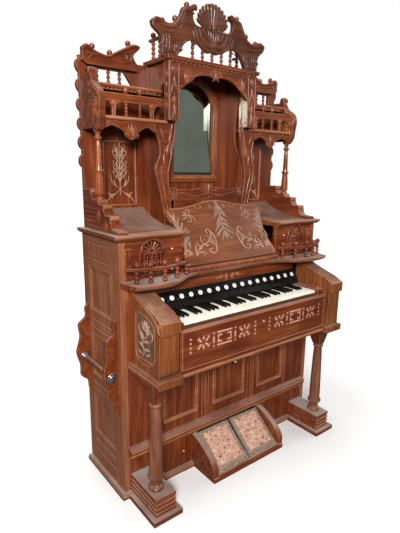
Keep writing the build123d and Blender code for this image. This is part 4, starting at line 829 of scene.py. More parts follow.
sharps = row("sharp_keys", sharp_key, [(-KEYS_HALF + NATURAL_PITCH * (index + 1), -30.5, KEYS_Z)
                                       for index in range(NATURALS - 1) if index % 7 in SHARP_AFTER], ebonised)
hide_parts("white_keys")
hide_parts("white_keys")
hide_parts("black_keys")

# Drawstops, each on its own body
STOP_TILT, STOPS, STOP_PITCH, STOP_Z = math.radians(35), 17, 51.9, 874
lean_turn = Vector((0, -math.cos(STOP_TILT), math.sin(STOP_TILT))).to_track_quat("Z", "Y").to_matrix()
STOP_KNOB = rounded_outline(((0.3, 12.5), (1.2, 14), (3, 14), (4.5, 11.4), (9, 11), (12, 12.6), (15, 13.8),
                             (18.5, 13.4), (20.5, 12.4)), 3)
STOP_DISC = rounded_outline(((20.4, 11.6), (22.6, 11.4), (24, 9.6), (24.6, 6), (24.8, 1)), 3)
STOP_ROD = ((-28, 6), (0.4, 6))
for index in range(STOPS):
    knob = bmesh.new()
    middle = at((index - STOPS // 2) * STOP_PITCH, -30 + 41 * math.tan(STOP_TILT), STOP_Z)
    lathe(knob, STOP_ROD, 16, middle, lean_turn)
    lathe(knob, STOP_KNOB, 24, middle, lean_turn)
    lathe(knob, STOP_DISC, 24, middle, lean_turn, 1)
    stop = finished(f"drawstop_{index + 1:02d}", knob, ebonised, stop_face)
    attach(stop, f"stop_{index + 1:02d}")
    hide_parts(f"stop_{index + 1:02d}")

# Pedals: boards with worn borders and a strip of carpet
PEDAL_LOW, PEDAL_HIGH = (8, 0, -6), (196, 204, 4.6)
CARPET_WIDTH, CARPET_LENGTH = 152, 168
slope = Matrix.Rotation(math.radians(38.4), 3, "X")
axis = at(0, -160, 34)
rod = Matrix.Rotation(math.radians(90), 3, "Y")
for hand, side in SIDES:
    tread = bmesh.new()
    for vert in bmesh.ops.create_cube(tread, size=1)["verts"]:
        x, y, z = [PEDAL_HIGH[k] if vert.co[k] > 0 else PEDAL_LOW[k] for k in range(3)]
        vert.co = axis + slope @ (Vector((hand * x, y, z)) * MM)
    bmesh.ops.recalc_face_normals(tread, faces=tread.faces)
    lathe(tread, ((0, 7.6), (0.6, 8), (187.4, 8), (188, 7.6)), 20,
          axis + Vector((8 if hand > 0 else -196, 0, 0)) * MM, rod)
    board_piece = bevelled(finished(f"{side}_pedal_board", tread, pedal_border, pedal_border), 1.5,
                           body=f"{side}_pedal")
    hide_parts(f"{side}_pedal")
    carpet = bmesh.new()
    bmesh.ops.create_grid(carpet, x_segments=40, y_segments=44, size=0.5)
    for vert in carpet.verts:
        u, v = vert.co.x, vert.co.y
        edge = min(0.5 - abs(u), 0.5 - abs(v))
        lift = 5 + 0.9 * min(edge / 0.03, 1) + 0.25 * math.sin(u * 37) * math.sin(v * 29)
        vert.co = axis + slope @ (Vector((hand * 102 + u * CARPET_WIDTH, 106 + v * CARPET_LENGTH, lift)) * MM)
    cloth = finished(f"{side}_pedal_carpet", carpet, floral_carpet)
    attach(cloth, f"{side}_pedal")

# The fretwork is 3 mm thick where it is pierced, with cloth stretched behind it
FRET_X, FRET_Z, CLOTH_HALF_WIDTH, CLOTH_HALF_HEIGHT = 226, 741.5, 192, 38
PIERCED_X, PIERCED_Z, FRET_BACK = (15, 432), (690, 785), FRONT - 212
for vert in bpy.data.objects["fret_panel_wood"].data.vertices:
    x, y, z = (1000 * value for value in vert.co)
    if y > FRONT - 202.5 and PIERCED_X[0] < abs(x) < PIERCED_X[1] and PIERCED_Z[0] < z < PIERCED_Z[1]:
        vert.co.y = FRET_BACK * MM
for hand, side in SIDES:
    cloth_shape = bmesh.new()
    cloth_shape.faces.new([cloth_shape.verts.new(at(x, -211.6, z)) for x, z in
                           corners(FRET_X * hand - CLOTH_HALF_WIDTH, FRET_X * hand + CLOTH_HALF_WIDTH,
                                   FRET_Z - CLOTH_HALF_HEIGHT, FRET_Z + CLOTH_HALF_HEIGHT)])
    fret_cloth = finished(f"{side}_fret_cloth", cloth_shape, felt)
    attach(fret_cloth, "case")

# Mirror with its bevelled edge
GLASS_HALF, GLASS_LOW, GLASS_SPRING = 129.5, CASE_TOP_Z + 228.5, 1718
arch_line = [(-GLASS_HALF, GLASS_LOW), (GLASS_HALF, GLASS_LOW), *arch(0, GLASS_SPRING, GLASS_HALF, GLASS_HALF, 28)]
mirror_shape = bmesh.new()


def arch_ring(inset, depth):
    """Points of the glass's outline, drawn in by an inset, at a depth."""
    ring = []
    for x, z in arch_line:
        if z <= GLASS_SPRING:
            ring.append((math.copysign(GLASS_HALF - inset, x), max(z, GLASS_LOW + inset)))
        else:
            share = (GLASS_HALF - inset) / GLASS_HALF
            ring.append((x * share, GLASS_SPRING + (z - GLASS_SPRING) * share))
    return [mirror_shape.verts.new(at(x, depth, z)) for x, z in ring]


rim, inner_rim, glass_back = arch_ring(0.0, 327.2), arch_ring(15.0, 325.2), arch_ring(0.0, 330.0)
for ring_a, ring_b in ((rim, inner_rim), (glass_back, rim)):
    for k in range(len(rim)):
        other = (k + 1) % len(rim)
        mirror_shape.faces.new((ring_a[k], ring_a[other], ring_b[other], ring_b[k]))
mirror_shape.faces.new(inner_rim)
mirror_shape.faces.new(glass_back[::-1])
bmesh.ops.recalc_face_normals(mirror_shape, faces=mirror_shape.faces)
mirror_piece = finished("bevelled_mirror", mirror_shape, glass, sharp=3)
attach(mirror_piece, "case")
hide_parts("mirror")

# Fine mouldings round the mirror: how far out from the glass, half width, depth
for offset, radius, depth in ((5, 5, 306), (13, 3, 306), (20, 4.5, 310), (28, 2.5, 316)):
    r, low = 130 + offset, CASE_TOP_Z + 228 - offset
    line = even([(-r, low), (-r, 1560), (-r, 1650), (-r, 1700), *arch(0, GLASS_SPRING, -r, r, 14),
                 (r, 1700), (r, 1650), (r, 1560), (r, low)], radius)
    carve(f"mirror_moulding_{offset:02d}", front_face(depth), [line], walnut_up, 0.9, 3)

# Carving on the music desk
desk_spray = [
    # a stem from the foot, an upper and a lower volute and a web of ribs between them
    stroke([(-214, 38), (-200, 60), (-176, 80), (-150, 93), (-122, 104), (-98, 124), (-87, 145), (-89, 161),
            (-101, 168), (-112, 158), (-108, 147)], 2.8),
    stroke([(-104, 104), (-88, 92), (-82, 72), (-90, 54), (-108, 45), (-124, 50), (-128, 62), (-117, 70),
            (-108, 65)], 2.8),
    stroke([(-87, 158), (-75, 138), (-72, 112), (-76, 88), (-86, 64)], 2.3),
    stroke([(-118, 102), (-98, 108), (-80, 122)], 1.9), stroke([(-108, 102), (-92, 102), (-74, 108)], 1.9),
    stroke([(-104, 98), (-90, 92), (-76, 94)], 1.8), stroke([(-214, 38), (-207, 58), (-204, 78), (-194, 98)], 2.6),
    stroke([(-150, 92), (-158, 114), (-154, 136)], 2.3),
    stroke([(-213, 40), (-188, 56), (-164, 56), (-146, 38)], 2.4),
    stroke([(-178, 56), (-168, 44), (-170, 34)], 1.9), stroke([(-172, 82), (-184, 96), (-184, 114)], 2),
    leaf(-150, 92, 342, 36, 6, 20), leaf(-190, 68, 20, 36, 6, 20), bud(-142, 116, 4.4), bud(-136, 84, 4.2),
    bud(-112, 128, 3.4), scroll(-240, 44, 30, 22, 1, 4, 1.5),
    # a small spray near the head
    *moved([stroke([(0, 0), (14, 12), (18, 24), (9, 31), (-1, 26), (2, 18)], 2.2), leaf(-2, -1, 166, 34, 6, 10),
            stroke([(0, 0), (10, -15), (10, -29), (0, -35), (-10, -28), (-5, -19)], 2.4),
            leaf(-4, -3, 214, 38, 6, -10), stroke([(0, 0), (18, -3), (30, -17), (34, -31)], 2.2),
            leaf(-2, 3, 134, 28, 6, 8), bud(2, -1, 3.6)], -182, 246),
]
desk_edge = [
    stroke([(-262, 84), (-248, 112), (-246, 150), (-254, 190), (-268, 236), (-280, 262)], 6),
    scroll(-222, 152, 150, 15, -1, 3.8, 1.3), leaf(-258, 96, 52, 56, 14, -24), leaf(-250, 118, 40, 48, 13, -30),
    leaf(-246, 140, 62, 60, 14, -24), leaf(-248, 164, 72, 60, 14, -20), leaf(-254, 190, 80, 58, 13, -14),
    leaf(-264, 214, 84, 56, 12, -6), leaf(-268, 90, 84, 56, 12, 6), leaf(-256, 132, 102, 56, 11, 8),
    leaf(-262, 168, 104, 52, 10, 6), leaf(-246, 96, 20, 34, 9, 44), leaf(-244, 186, 46, 34, 9, 20),
    leaf(-256, 70, 78, 40, 10, 10), leaf(-238, 74, 60, 40, 9, 20),
]
desk_middle = [
    tapered([(12, 315), (10, 265), (6, 216), (1, 166), (-2, 112)], 9, 4), leaf(6, 296, 246, 62, 13, -14),
    leaf(18, 294, 294, 60, 13, 14), leaf(4, 262, 232, 66, 15, -20), leaf(16, 262, 306, 62, 15, 20),
    leaf(2, 230, 240, 66, 15, -18), leaf(12, 230, 300, 62, 15, 18), leaf(-2, 200, 230, 78, 15, -20),
    leaf(8, 200, 310, 78, 15, 20), leaf(-4, 170, 226, 74, 14, -18), leaf(6, 170, 314, 78, 14, 18),
    leaf(-2, 152, 246, 60, 13, -10), leaf(4, 152, 294, 60, 13, 10), leaf(1, 156, 270, 58, 12),
    bud(-50, 146, 4.6), bud(54, 144, 4.6), bud(-34, 112, 4.4), bud(36, 114, 4.4), bud(-16, 96, 4), bud(14, 96, 4),
    scroll(-20, 290, 110, 13, 1, 2.8, 1.2), scroll(44, 290, 70, 13, -1, 2.8, 1.2),
]
carve("desk_spray", desk_face, both(desk_spray), highlit_carving, 0.75, 4)
carve("desk_carving", desk_face, both(desk_edge) + desk_middle, dusty_carving, 0.75, 4)
carve("desk_edges", desk_face, both([
    even([(268, 4), (276, 36), (262, 84), (250, 132), (260, 190), (276, 244), (284, 270)], 3.2),
    even([(270, 284), (214, 282), (150, 292), (90, 304), (40, 316), (0, 319)], 3),
    stroke([(128, 292), (116, 282), (98, 280), (88, 288), (94, 296)], 3)]), walnut_worn_and_highlit_edge, 0.7, 4)
carve("desk_foot_roll", front_face(-24), [level(SHELF_Z + 12, 9, -286, -140, 0, 140, 286)], walnut_red, 1, 3)

# Carving of the rail over the desk, the legs and the canopy
sawn("rail_backing", corners(-203, 203, CASE_TOP_Z + 22, CASE_TOP_Z + 128), TIER_DEPTH + 5, TIER_DEPTH + 17,
     walnut_across)
leg_half = [
    even([(225, 1172), (227, 1262), (238, 1344), (240, 1418), (214, 1530), (205, 1600), (205, 1740)], 2.6),
    even([(260, 1176), (268, 1262), (298, 1380), (305, 1440), (283, 1495), (297, 1577)], 3),
    leaf(240, 1184, 96, 66, 14, 10), leaf(250, 1186, 78, 76, 15, -8), leaf(244, 1180, 88, 92, 12, 0),
    scroll(268, 1520, 100, 22, 1, 4.6, 1.3), leaf(250, 1490, 104, 84, 16, 6), leaf(236, 1536, 100, 84, 16, 4),
    leaf(266, 1556, 78, 58, 12, -14), leaf(222, 1590, 96, 70, 12, 2), leaf(262, 1440, 84, 66, 14, 16),
    bud(290, 1474, 5), stroke([(252, 1262), (262, 1330), (278, 1392), (276, 1440)], 4),
]
feathers = [leaf(212 + 3 * math.sin(k), 1628 - k * 15, -52, 40, 7, -18) for k in range(8)]
rail_half = [
    stroke([(14, 1322), (44, 1308), (84, 1302), (124, 1308), (156, 1320), (176, 1318)], 3.6),
    leaf(4, 1330, 36, 40, 9, -36), leaf(8, 1326, 6, 44, 10, -20), leaf(4, 1322, -48, 34, 8, 30),
    leaf(4, 1340, 64, 36, 8, -26), scroll(20, 1340, 20, 12, 1, 3.2, 1.1),
    stroke([(196, 1336), (192, 1316), (196, 1296)], 2.6), stroke([(206, 1334), (203, 1312), (208, 1292)], 2.6),
    stroke([(216, 1330), (214, 1310), (218, 1292)], 2.6),
    even([(228, 1344), (180, 1336), (125, 1333), (60, 1340), (0, 1349)], 2.2),
]
carve("leg_carving", front_face(TIER_DEPTH), both(leg_half + feathers), walnut_carved, 0.7, 4)
carve("rail_carving", front_face(TIER_DEPTH), both(rail_half) + [leaf(0, 1306, 90, 62, 15), bud(0, 1300, 5)],
      walnut_carved, 0.7, 4)
HOOD_FOOT, HOOD_CUSP, HOOD_CROWN = CORNICE_Z - 145, CORNICE_Z - 60, CORNICE_Z - 40
canopy_half_lines = [
    even([(0, HOOD_CROWN - 3), (36, HOOD_CROWN + 6), (90, HOOD_CROWN + 4), (124, HOOD_CUSP + 5), (140, HOOD_CUSP - 8),
          (160, HOOD_FOOT + 62), (178, HOOD_FOOT + 54), (200, HOOD_FOOT + 34), (212, HOOD_FOOT + 2)], 3.2),
    level(CORNICE_Z - 16, 2, 262, 205, 120, 0),
    *palmette(172, HOOD_FOOT + 62, 118, 66, 5, 46, 12), scroll(150, HOOD_CUSP + 2, 70, 15, 1, 3.8, 1.2),
    bud(168, HOOD_FOOT + 66, 5),
    scroll(10, HOOD_CROWN + 10, 10, 15, 1, 3.8, 1.3), scroll(34, HOOD_CROWN + 4, 40, 12, 1, 3.2, 1.3),
    leaf(6, HOOD_CROWN + 6, -70, 30, 8, 10),
    # pilasters
    upright(210, 2.2, CORNICE_Z - 8, 1760, 1645), upright(257, 2.2, CORNICE_Z - 8, 1760, 1645),
    *palmette(234, 1836, 90, 38, 5, 44, 10), leaf(234, 1832, 270, 60, 12), leaf(228, 1806, 262, 58, 8, -10),
    leaf(240, 1806, 278, 58, 8, 10), bud(234, 1836, 6), *palmette(234, 1744, 270, 44, 3, 30, 9),
    leaf(234, 1716, 270, 56, 9), stroke([(224, 1700), (228, 1672), (224, 1652)], 2.6),
    stroke([(244, 1700), (240, 1672), (244, 1652)], 2.6), bud(234, 1752, 5),
]
carve("canopy_carving", front_face(CANOPY_DEPTH), both(canopy_half_lines) + [leaf(0, HOOD_CROWN + 26, 270, 44, 13)],
      walnut_carved, 0.75, 4)
carve_flanks("pilaster_carving", 262, [
    upright(155, 2, CORNICE_Z - 8, 1645), upright(186, 2, CORNICE_Z - 8, 1645),
    *[leaf(170, 1850 - 44 * k, 270, 40, 9) for k in range(4)]], walnut_carved, 0.7, 3)

# Crest
neck = [(1, 0.49), (0.951, 0.53), (0.86, 0.49), (0.765, 0.475), (0.68, 0.5), (0.6, 0.585), (0.545, 0.7),
        (0.50, 0.785), (0.431, 0.81), (0.36, 0.845), (0.315, 0.855)]
neck_mm = [(CREST_HALF * a, CREST_Z + CREST_H * u) for a, u in neck]
crest_half_lines = [
    even([(x - 2, z - 6) for x, z in neck_mm], 9.5),
    even([(x - 4, z - 26) for x, z in neck_mm[1:-1]], 4.2),
    even([(x - 5, z - 38) for x, z in neck_mm[2:-2]], 2.4),
    stroke([(88, 2052), (78, 2030), (66, 2004), (46, 1982), (24, 1976), (8, 1986), (4, 2004)], 9),
    stroke([(108, 2050), (98, 2024), (88, 1998), (70, 1976), (48, 1966)], 5.6),
    stroke([(64, 2054), (52, 2030), (38, 2010), (22, 2002)], 6), leaf(118, 2040, 262, 60, 11, -12),
    leaf(96, 1990, 20, 60, 10, -40), leaf(92, 1984, 330, 44, 9, 20), leaf(2, 2052, 268, 76, 18, 0),
    leaf(18, 2054, 262, 66, 15, 8), leaf(34, 2054, 256, 56, 13, 10), scroll(20, 2050, 20, 13, 1, 4.6, 1.2),
    even([(0, 1962), (20, 1959), (46, 1961), (70, 1974), (100, 1988), (132, 1990), (164, 1974), (190, 1940),
            (208, 1910)], 4.6),
    scroll(284, 1938, 200, 12, -1, 3.6, 1.4), stroke([(262, 1990), (258, 1960), (264, 1930)], 4),
    stroke([(248, 1994), (243, 1962), (248, 1928)], 4), stroke([(276, 1984), (273, 1962), (278, 1938)], 3.4),
    *palmette(204, 1930, 110, 52, 5, 52, 12), scroll(196, 1966, 200, 16, 1, 3.6, 1.2),
    leaf(216, 1916, 80, 44, 10, 16), leaf(210, 1912, 100, 40, 8, 8),
    even([(280, 1912), (281, 1960), (290, 1985), (306, 2000), (322, 2014), (325, 2034)], 3),
]
carve("crest_carving", front_face(CREST_DEPTH), both(crest_half_lines), walnut_crest_in_painted_shade, 0.8, 4)
carve("crest_mouldings_behind", Face(at(0, CREST_DEPTH + 22, 0), (-1, 0, 0), (0, 0, 1)),
      both([even([(x - 2, z - 6) for x, z in neck_mm], 8)]), walnut_crest_in_painted_shade, 0.8, 4)
SHELL_TOP = CREST_Z + CREST_H
SHELL_Z = SHELL_TOP - 0.52 * CREST_H
shell_lines = []
for rib in range(12):
    lean = -60 + 120 * (rib + 0.5) / 12
    reach = (SHELL_TOP - SHELL_Z) * (1 - 0.26 * (lean / 60) ** 2) - 4
    tilt = math.radians(90 - lean)
    bow = -7 * math.sin(math.radians(lean * 1.5))
    line = []
    for step in range(7):
        share = 0.08 + 0.92 * step / 6
        side = bow * math.sin(math.pi * share)
        line.append((math.cos(tilt) * reach * share - math.sin(tilt) * side * 0.6,
                     SHELL_Z + math.sin(tilt) * reach * share + math.cos(tilt) * side * 0.6,
                     (1.8 + 12.2 * share) * (1 if step < 6 else 0.7)))
    shell_lines.append(line)
shell_lines += both([scroll(8, SHELL_Z - 2, 300, 12, 1, 4.4, 1.2), leaf(10, SHELL_Z + 6, 20, 34, 12, 30),
                     leaf(14, SHELL_Z - 10, 330, 30, 10, 30)])
shell_lines += [leaf(0, SHELL_Z - 30, 90, 40, 16), even([(-26, SHELL_Z + 24), (0, SHELL_Z + 36),
        (26, SHELL_Z + 24)], 3.4)]
carve("crest_shell", front_face(CREST_DEPTH + 8), shell_lines, walnut_crest_in_painted_shade, 0.95, 4)

# Side tiers
APRON_DROP = 92
apron_lines = [
    even([(562, 38), (517, 58), (458, 34), (441, 12), (425, 4), (410, 12), (394, 34), (350, 58), (314, 41)], 3),
    *palmette(425, 16, 90, 56, 7, 66, 10), scroll(398, 30, 200, 14, 1, 3.8, 1.3),
    scroll(452, 30, 340, 12, -1, 3.4, 1.2), bud(425, 14, 6), level(APRON_DROP - 18, 2.4, 560, 440, 316),
    leaf(556, 56, 160, 44, 9, -20), leaf(320, 60, 20, 44, 9, 20),
]
carve("apron_carving", front_face(TIER_DEPTH), both(moved(apron_lines, 0, LOWER_SHELF_Z - APRON_DROP)),
      walnut_carved, 0.75, 4)
arcade_lines = [level(88, 3, 254, 400, 558), level(62, 2, 254, 400, 558)]
for pillar in (503, 318):
    for hand, side in SIDES:
        arcade_lines.append(even([(pillar + hand * u, v) for u, v in
                                  ((6.5, 3), (6.5, 28), (8, 40), (14, 50), (28, 60))], 2.2))
    arcade_lines += [level(6 + 5.5 * k, 2.2, pillar - 5, pillar + 5) for k in range(7)]
    arcade_lines += palmette(pillar, 44, 90, 26, 5, 50, 7)
carve("arcade_carving", front_face(198), both(moved(arcade_lines, 0, LOWER_SHELF_Z)), walnut_carved, 0.8, 4)
for tier, height, depth, radius, relief in (("upper", UPPER_SHELF_Z - 4, 222, 4, 0.7),
                                            ("lower", LOWER_SHELF_Z - 7, 180, 5.5, 0.6)):
    carve(f"{tier}_shelf_edges", front_face(depth), both([level(height, radius, 252, 400, 560)]), walnut_worn_and_highlit_edge,
          relief, 3)
panel_x, panel_low, panel_high = 412, CASE_TOP_Z + 90, LOWER_SHELF_Z - 90
panel_spray = [
    tapered([(0, 34), (0, 120), (0, 190), (0, 262)], 3, 2), leaf(0, 256, 90, 26, 8),
    *both([stroke([(0, 66), (20, 44), (46, 34), (66, 12), (74, -2)], 3), leaf(22, 44, 330, 34, 9, -30),
           leaf(44, 34, 20, 30, 9, 30), leaf(58, 22, 300, 26, 7, -10), scroll(40, 30, 250, 10, 1, 2.8, 1.2),
           stroke([(0, 66), (26, 78), (44, 98), (46, 120)], 2.8), bud(47, 122, 4), bud(30, 100, 3.4),
           leaf(20, 74, 60, 40, 9, 26), leaf(2, 130, 30, 46, 8, 46), leaf(2, 150, 50, 44, 8, 30),
           leaf(2, 186, 40, 50, 9, 40), leaf(2, 210, 58, 46, 9, 24), leaf(14, 150, 20, 32, 7, 50),
           stroke([(0, 216), (18, 236), (28, 256), (20, 270)], 2.6), leaf(16, 232, 20, 26, 7, 50),
           stroke([(26, 128), (34, 150), (28, 172)], 2.2)]),
    leaf(0, 84, 90, 36, 12), leaf(0, 150, 90, 34, 10), bud(0, 60, 5),
    *both([leaf(0, 96 + 26 * k, 60 - 3 * k, 40, 9, 34) for k in range(6)]),
    *both([leaf(24, 110 + 30 * k, 110, 34, 8, 40) for k in range(5)]),
    *both([bud(36, 96 + 46 * k, 4) for k in range(4)]),
    *both([stroke([(2, 112 + 44 * k), (22, 120 + 44 * k), (34, 140 + 44 * k), (24, 152 + 44 * k)], 2.6)
           for k in range(3)])]
carve("backboard_carving", front_face(BOARD_DEPTH + 4), both(moved(panel_spray, panel_x, panel_low + 14, 0.98, 0.7)),
      highlit_carving, 0.7, 4)
carve("backboard_panel_frames", front_face(BOARD_DEPTH), both(rectangle(331, 493, panel_low + 2, panel_high - 2, 3)),
      walnut_worn_and_highlit_edge, 0.8, 2)
ped_line = [(576, 16), (567, 30), (535, 16), (500, 6), (465, 3), (421, 26), (372, 52), (338, 64), (322, 60)]
carve("pediment_mouldings", front_face(306), both(moved([
    even(ped_line, 8), even([(x, z - 15) for x, z in ped_line[1:-1]], 4),
    even([(x, z - 24) for x, z in ped_line[2:-1]], 2.4),
    even([(332, 56), (342, 42), (353, 26), (346, 4), (326, -14)], 3.4), leaf(362, -8, 52, 44, 12, 20),
    leaf(368, -12, 20, 60, 12, 16), leaf(356, -8, 90, 40, 10, -10), leaf(560, -16, 150, 50, 11, -20)],
    0, CORNICE_Z)), walnut_across, 0.8, 4)

# Brackets at the ends of the tiers, carved on both sides
bracket_lines = [
    even([(200, 1588), (171, 1624), (166, 1656), (160, 1698), (179, 1729), (206, 1747), (231, 1776)], 4),
    scroll(202, 1706, 150, 30, 1, 6, 1.7), leaf(196, 1672, 284, 66, 18, 16), leaf(208, 1674, 306, 62, 16, 22),
    leaf(186, 1668, 262, 52, 12, -10), leaf(206, 1648, 292, 58, 14, 14), leaf(210, 1738, 60, 46, 12, -16),
    leaf(230, 1724, 28, 50, 12, -24), stroke([(236, 1700), (256, 1676), (266, 1644), (268, 1606)], 4.4),
    scroll(262, 1762, 90, 14, 1, 4.4, 1.3), upright(316, 3, 1596, 1790)]
for hand, side in SIDES:
    for x, looks in ((588, hand), (562, -hand)):
        carve(f"{side}_bracket_carving_{x}", Face(at(hand * x, 0, 0), (0, looks, 0), (0, 0, 1)),
              mirrored(bracket_lines, looks), walnut_carved, 0.7, 4)
roll = turned("roll_pattern", ((0, 5), (1, 11), (5, 13), (9, 11.4), (12, 8), (16, 10), (21, 12.2), (26, 10), (30, 8),
                               (33, 11.4), (37, 13), (41, 11), (42, 5)), 20, tip=(90, "Y"))
row("key_block_rolls", roll, [(hand * 446 - 19, -128 - 30 * k, KEYS_Z + 8 - 5 * k, 0.9) for hand, side in SIDES
                              for k in (0, 1)], walnut_turned)
nose = turned("nose_pattern", ((0, 8), (2, 10.5), (40, 10.5), (42, 8)), 20, 0, (90, "Y"))
row("console_noses", nose, [(hand * 575 - 21, BOARD_DEPTH * near + 8, CASE_TOP_Z + height - 9) for hand, side in SIDES
                            for near, height in ((0.227, 68), (0.409, 110), (0.56, 128), (0.757, 170))], walnut_worn_and_highlit_edge)
row("bracket_rolls", roll, [(hand * 575 - 21, 241, UPPER_SHELF_Z + 40) for hand, side in SIDES], walnut_red)

# Stepped consoles and case sides
carve_flanks("console_carving", 597, [
    scroll(122, 1216, 150, 24, 1, 5, 1.8), leaf(178, 1206, 90, 58, 24), leaf(206, 1236, 180, 56, 20),
    *[level(1190 + 18 * k, 2, 190, 250, 322) for k in range(5)], even([(6, 1180), (60, 1184), (90, 1200)], 2.2)],
    walnut_carved, 0.7, 3)
side_lines = [level(height, 2.4, 82, 285) for height in (126, 420, 440, 742, 1060, 1090, 1128)]
for low, high in ((187, 376), (490, 685), (806, 1004)):
    for inset, radius in ((-3, 3.2), (7, 1.6)):
        side_lines += rectangle(80 + inset, 287 - inset, low + inset, high - inset, radius)
carve_flanks("side_mouldings", CASE_HALF, side_lines, walnut_side, 0.7, 2)

# Kneeboard
knee_lines = both([upright(412, 3, 242, 600), upright(424, 2, 242, 600), upright(152, 2, 242, 600)])
for left, right in ((-100, 100), (205, 392), (-392, -205)):
    for inset, radius in ((-3, 3.4), (8, 1.8)):
        knee_lines += rectangle(left + inset, right - inset, 290 + inset, 585 - inset, radius)
carve("kneeboard_mouldings", front_face(0), knee_lines, walnut_worn_and_highlit_edge, 0.8, 2)

# Upper front: archivolts, rays over beads, strips and small knobs
ARCH_X, ARCH_Z, ARCH_FOOT = 447, 1094, 990
arch_lines = [even(arch(ARCH_X, ARCH_Z, 60, 54, 12), 4), upright(ARCH_X - 60, 4, ARCH_FOOT, ARCH_Z),
              upright(ARCH_X + 60, 4, ARCH_FOOT, ARCH_Z), level(1002, 3, ARCH_X - 54, ARCH_X + 54)]
carve("archivolts", front_face(-5), both(arch_lines), walnut_across, 0.8, 3)
ray_lines = [even(arch(ARCH_X, ARCH_Z, 12, 12, 8), 3.4), level(1090, 3, 394, 500), level(1046, 3, 394, 500)]
for k in range(7):
    around = math.radians(90 + (k - 3) * 26)
    c, s = math.cos(around), math.sin(around)
    ray_lines.append(tapered([(ARCH_X + 12 * c, ARCH_Z + 12 * s), (ARCH_X + 47 * c, ARCH_Z + 44 * s)], 3, 4.6))
carve("arch_rays", front_face(8), both(ray_lines), walnut_carved, 0.8, 3)
grille_bead = turned("grille_bead_pattern", beads(40, 3, 2, 4.2), 10, 0)
row("grille_beads", grille_bead, [spot for k in range(8) for z in (1004, 1049)
                                  for spot in pair(ARCH_X + (k - 3.5) * 13, 9, z)], walnut_turned)
carve("strip_mouldings", front_face(-6), both([
    upright(545, 2.6, ARCH_FOOT, 1116), upright(570, 2.6, ARCH_FOOT, 1116), leaf(557, 1000, 90, 56, 12),
    leaf(557, 1052, 90, 56, 12)]), walnut_across, 0.8, 2)
knob = turned("knob_pattern", ((0, 3), (3, 3), (5, 5), (8, 6.4), (11, 5), (12.6, 0.5)), 14, tip=(90, "X"))
row("front_knobs", knob, pair(352, 0, 1100, 0.6) + pair(352, 0, 1012, 0.6), stop_face)
row("fret_knob", knob, [(0, -215, KEYS_Z - 66, 0.8)], felt)
row("lower_knob", knob, [(-285, 0, 99, 0.5)], stop_face)
row("kneeboard_knob", knob, [(27, -2, 484, 1.3)], stop_face)
row("kneeboard_escutcheon", knob, [(27, 0, 484, (2.6, 0.3, 2.6))], ebonised)

# Corner stiles beside the arms
for hand, side in SIDES:
    sawn(f"{side}_corner_stile", corners(hand * 579, hand * 530, 606, 966), 0.4, 14, walnut_red)

# Arms: a dark sunk panel with a large flower, and a moulding along the slope that rolls up at the nose
ARM_SUNK = ARM_OUTER - 6
for hand, side in SIDES:
    field = bmesh.new()
    field.faces.new([field.verts.new(flank(hand * ARM_SUNK).place(hand * u, v, 0.25)) for u, v in
                     ((-54, 690), (-176, 690), (-186, 822), (-163, 852), (-110, 869), (-54, 870))])
    bmesh.ops.recalc_face_normals(field, faces=field.faces)
    arm_field = finished(f"{side}_arm_field", field, walnut_sunk)
    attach(arm_field, "case")
carve_flanks("arm_flower", ARM_SUNK, [
    tapered([(-96, 700), (-104, 724), (-88, 748), (-104, 772), (-124, 786), (-120, 806)], 4.6, 3),
    *palmette(-116, 812, 108, 44, 7, 104, 15), bud(-116, 812, 8), leaf(-100, 720, 150, 50, 13, 40),
    leaf(-96, 736, 30, 40, 12, -30), leaf(-90, 750, 150, 56, 14, 30), leaf(-96, 764, 50, 44, 12, -20),
    leaf(-110, 776, 20, 48, 12, 40), leaf(-84, 704, 10, 30, 9, 30), leaf(-112, 704, 170, 42, 10, -30),
    stroke([(-84, 790), (-68, 800), (-66, 820), (-78, 832)], 4),
    stroke([(-152, 770), (-166, 786), (-164, 806), (-150, 812)], 4)], highlit_carving, 0.8, 4)
carve_flanks("arm_mouldings", ARM_OUTER, [
    even([(-4, 952), (-60, 930), (-112, 906), (-160, 892), (-196, 868), (-218, 838), (-224, 826)], 3.4),
    scroll(-214, 852, 240, 15, -1, 3.6, 1.3),
    even([(-50, 874), (-110, 873), (-165, 856), (-190, 824), (-180, 686), (-50, 686), (-50, 874)], 2.6)],
    walnut_worn_and_highlit_edge, 0.8, 3)
carve_flanks("arm_foot_moulding", ARM_OUTER + 14, [level(622, 6, -238, -120, -4)], walnut_worn_and_highlit_edge, 0.7, 2)

# A carved spray on the name board
name_lines = both([leaf(6, 925, 0, 34, 12, 20), leaf(10, 928, 30, 24, 9, 30), leaf(10, 922, -30, 24, 9, -30),
                   scroll(46, 925, 150, 9, -1, 3.4, 1.4), leaf(52, 925, 8, 30, 9, -16), bud(84, 924, 3.6),
                   bud(0, 925, 7)])
carve("name_board_carving", front_face(NAME_FRONT), name_lines, walnut_worn_and_highlit_edge, 0.8, 4)

# Fret board and key bed edge
carve("fret_board_mouldings", front_face(-215), [
    level(806, 4, -452, 0, 452), level(622, 7, -452, 0, 452), level(646, 2.6, -452, 0, 452),
    upright(-446, 3, 650, 800), upright(446, 3, 650, 800)], walnut_worn_and_highlit_edge, 0.7, 2)

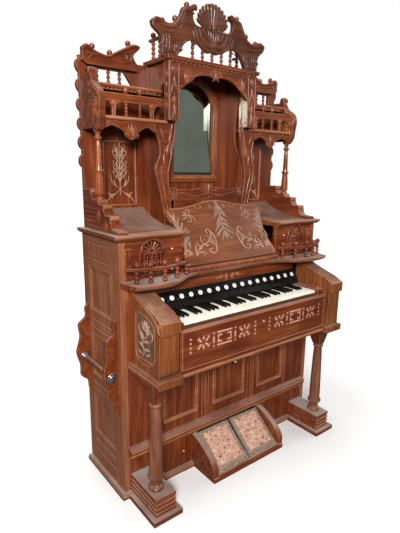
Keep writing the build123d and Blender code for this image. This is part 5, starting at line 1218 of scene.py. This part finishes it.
# Long edges of the case top, gallery shelf, waist and base
carve("case_top_edge", front_face(-22), both([level(CASE_TOP_Z - 6, 5, 302, 460, 622)]), walnut_worn_and_highlit_edge, 0.7, 2)
shelf_curve = [(583, 104.7), (515, 119), (392.2, 108.3), (294, 50), (188, 22), (0, 28)]
shelf_line = spline_points(shelf_curve + [(-x, y) for x, y in shelf_curve[-2::-1]], 3)
shelf_edge = at(0, 0, SHELF_Z - 6)
carve("shelf_edge_bead", Face(shelf_edge, (1, 0, 0), (0, -1, 0)), [even([(x, y - 2) for x, y in shelf_line], 7)],
      walnut_worn_and_highlit_edge, 0.8, 2)
carve("shelf_edge_bead_below", Face(shelf_edge, (1, 0, 0), (0, 1, 0)),
      [even([(x, 2 - y) for x, y in shelf_line], 6)], walnut_across, 0.8, 2)
for name, height, proud, radius, relief in (("waist_bead", 218, 25, 5, 0.7), ("waist_bead_203", 203, 20, 4.4, 0.8),
                                            ("waist_bead_190", 190, 12, 4.4, 0.8)):
    carve(name, front_face(-proud), [level(height, radius, -577, 0, 577)], walnut_worn_and_highlit_edge, relief, 2)
carve("base_bead", front_face(-20), both([level(12, 5, 236, 430, 620)]), walnut_worn_and_highlit_edge, 0.7, 2)

# Handles: an amber polished bar between nickel roses
bar = turned("bar_pattern", ((0, 11), (4, 12.6), (30, 12.9), (140, 12.9), (250, 12.9), (272, 12.6), (276, 11)), 24,
             tip=(-90, "X"))
HANDLE_X, HANDLE_Z = CASE_HALF + 68 * 0.44, 384 + 440 * 0.425
row("handle_bars", bar, pair(HANDLE_X, 43, HANDLE_Z), bar_wood)
rose = turned("rose_pattern", ((0, 22), (1.5, 24), (4, 22), (5, 15), (7, 14), (9, 8), (10, 2)), 24, tip=(90, "X"))
row("handle_roses_front", rose, pair(HANDLE_X, 28, HANDLE_Z), nickel)
row("handle_roses_rear", rose, pair(HANDLE_X, 303, HANDLE_Z), nickel)

for pattern in patterns:
    bpy.data.objects.remove(pattern)

floor()
soft_light("key_softbox", (-2.6, -3.3, 2.7), (0, 0, 1.1), 1.1, 285)
soft_light("fill_softbox", (3.6, -0.8, 2.6), (0, 0, 1.0), 2.0, 40)
soft_light("top_softbox", (-0.6, 0.2, 4.6), (0, 0, 0), 2.0, 60)
soft_light("back_softbox", (0.8, 3.9, 3.0), (0, 0, 1.1), 2.5, 60)
world = bpy.data.worlds.new("studio")
world.use_nodes = True
SEEN_WHITE, ROOM_LIGHT = 1.02, 0.17     # the backdrop as the camera sees it, and as it lights the organ
backdrop = world.node_tree.nodes["Background"]
backdrop.inputs["Color"].default_value = (1, 1, 1, 1)
seen = put(world.node_tree, "ShaderNodeLightPath").outputs["Is Camera Ray"]
world.node_tree.links.new(ranged(world.node_tree, seen, 0, 1, ROOM_LIGHT, SEEN_WHITE), backdrop.inputs["Strength"])
bpy.context.scene.world = world
bpy.context.scene.view_settings.view_transform = "Standard"
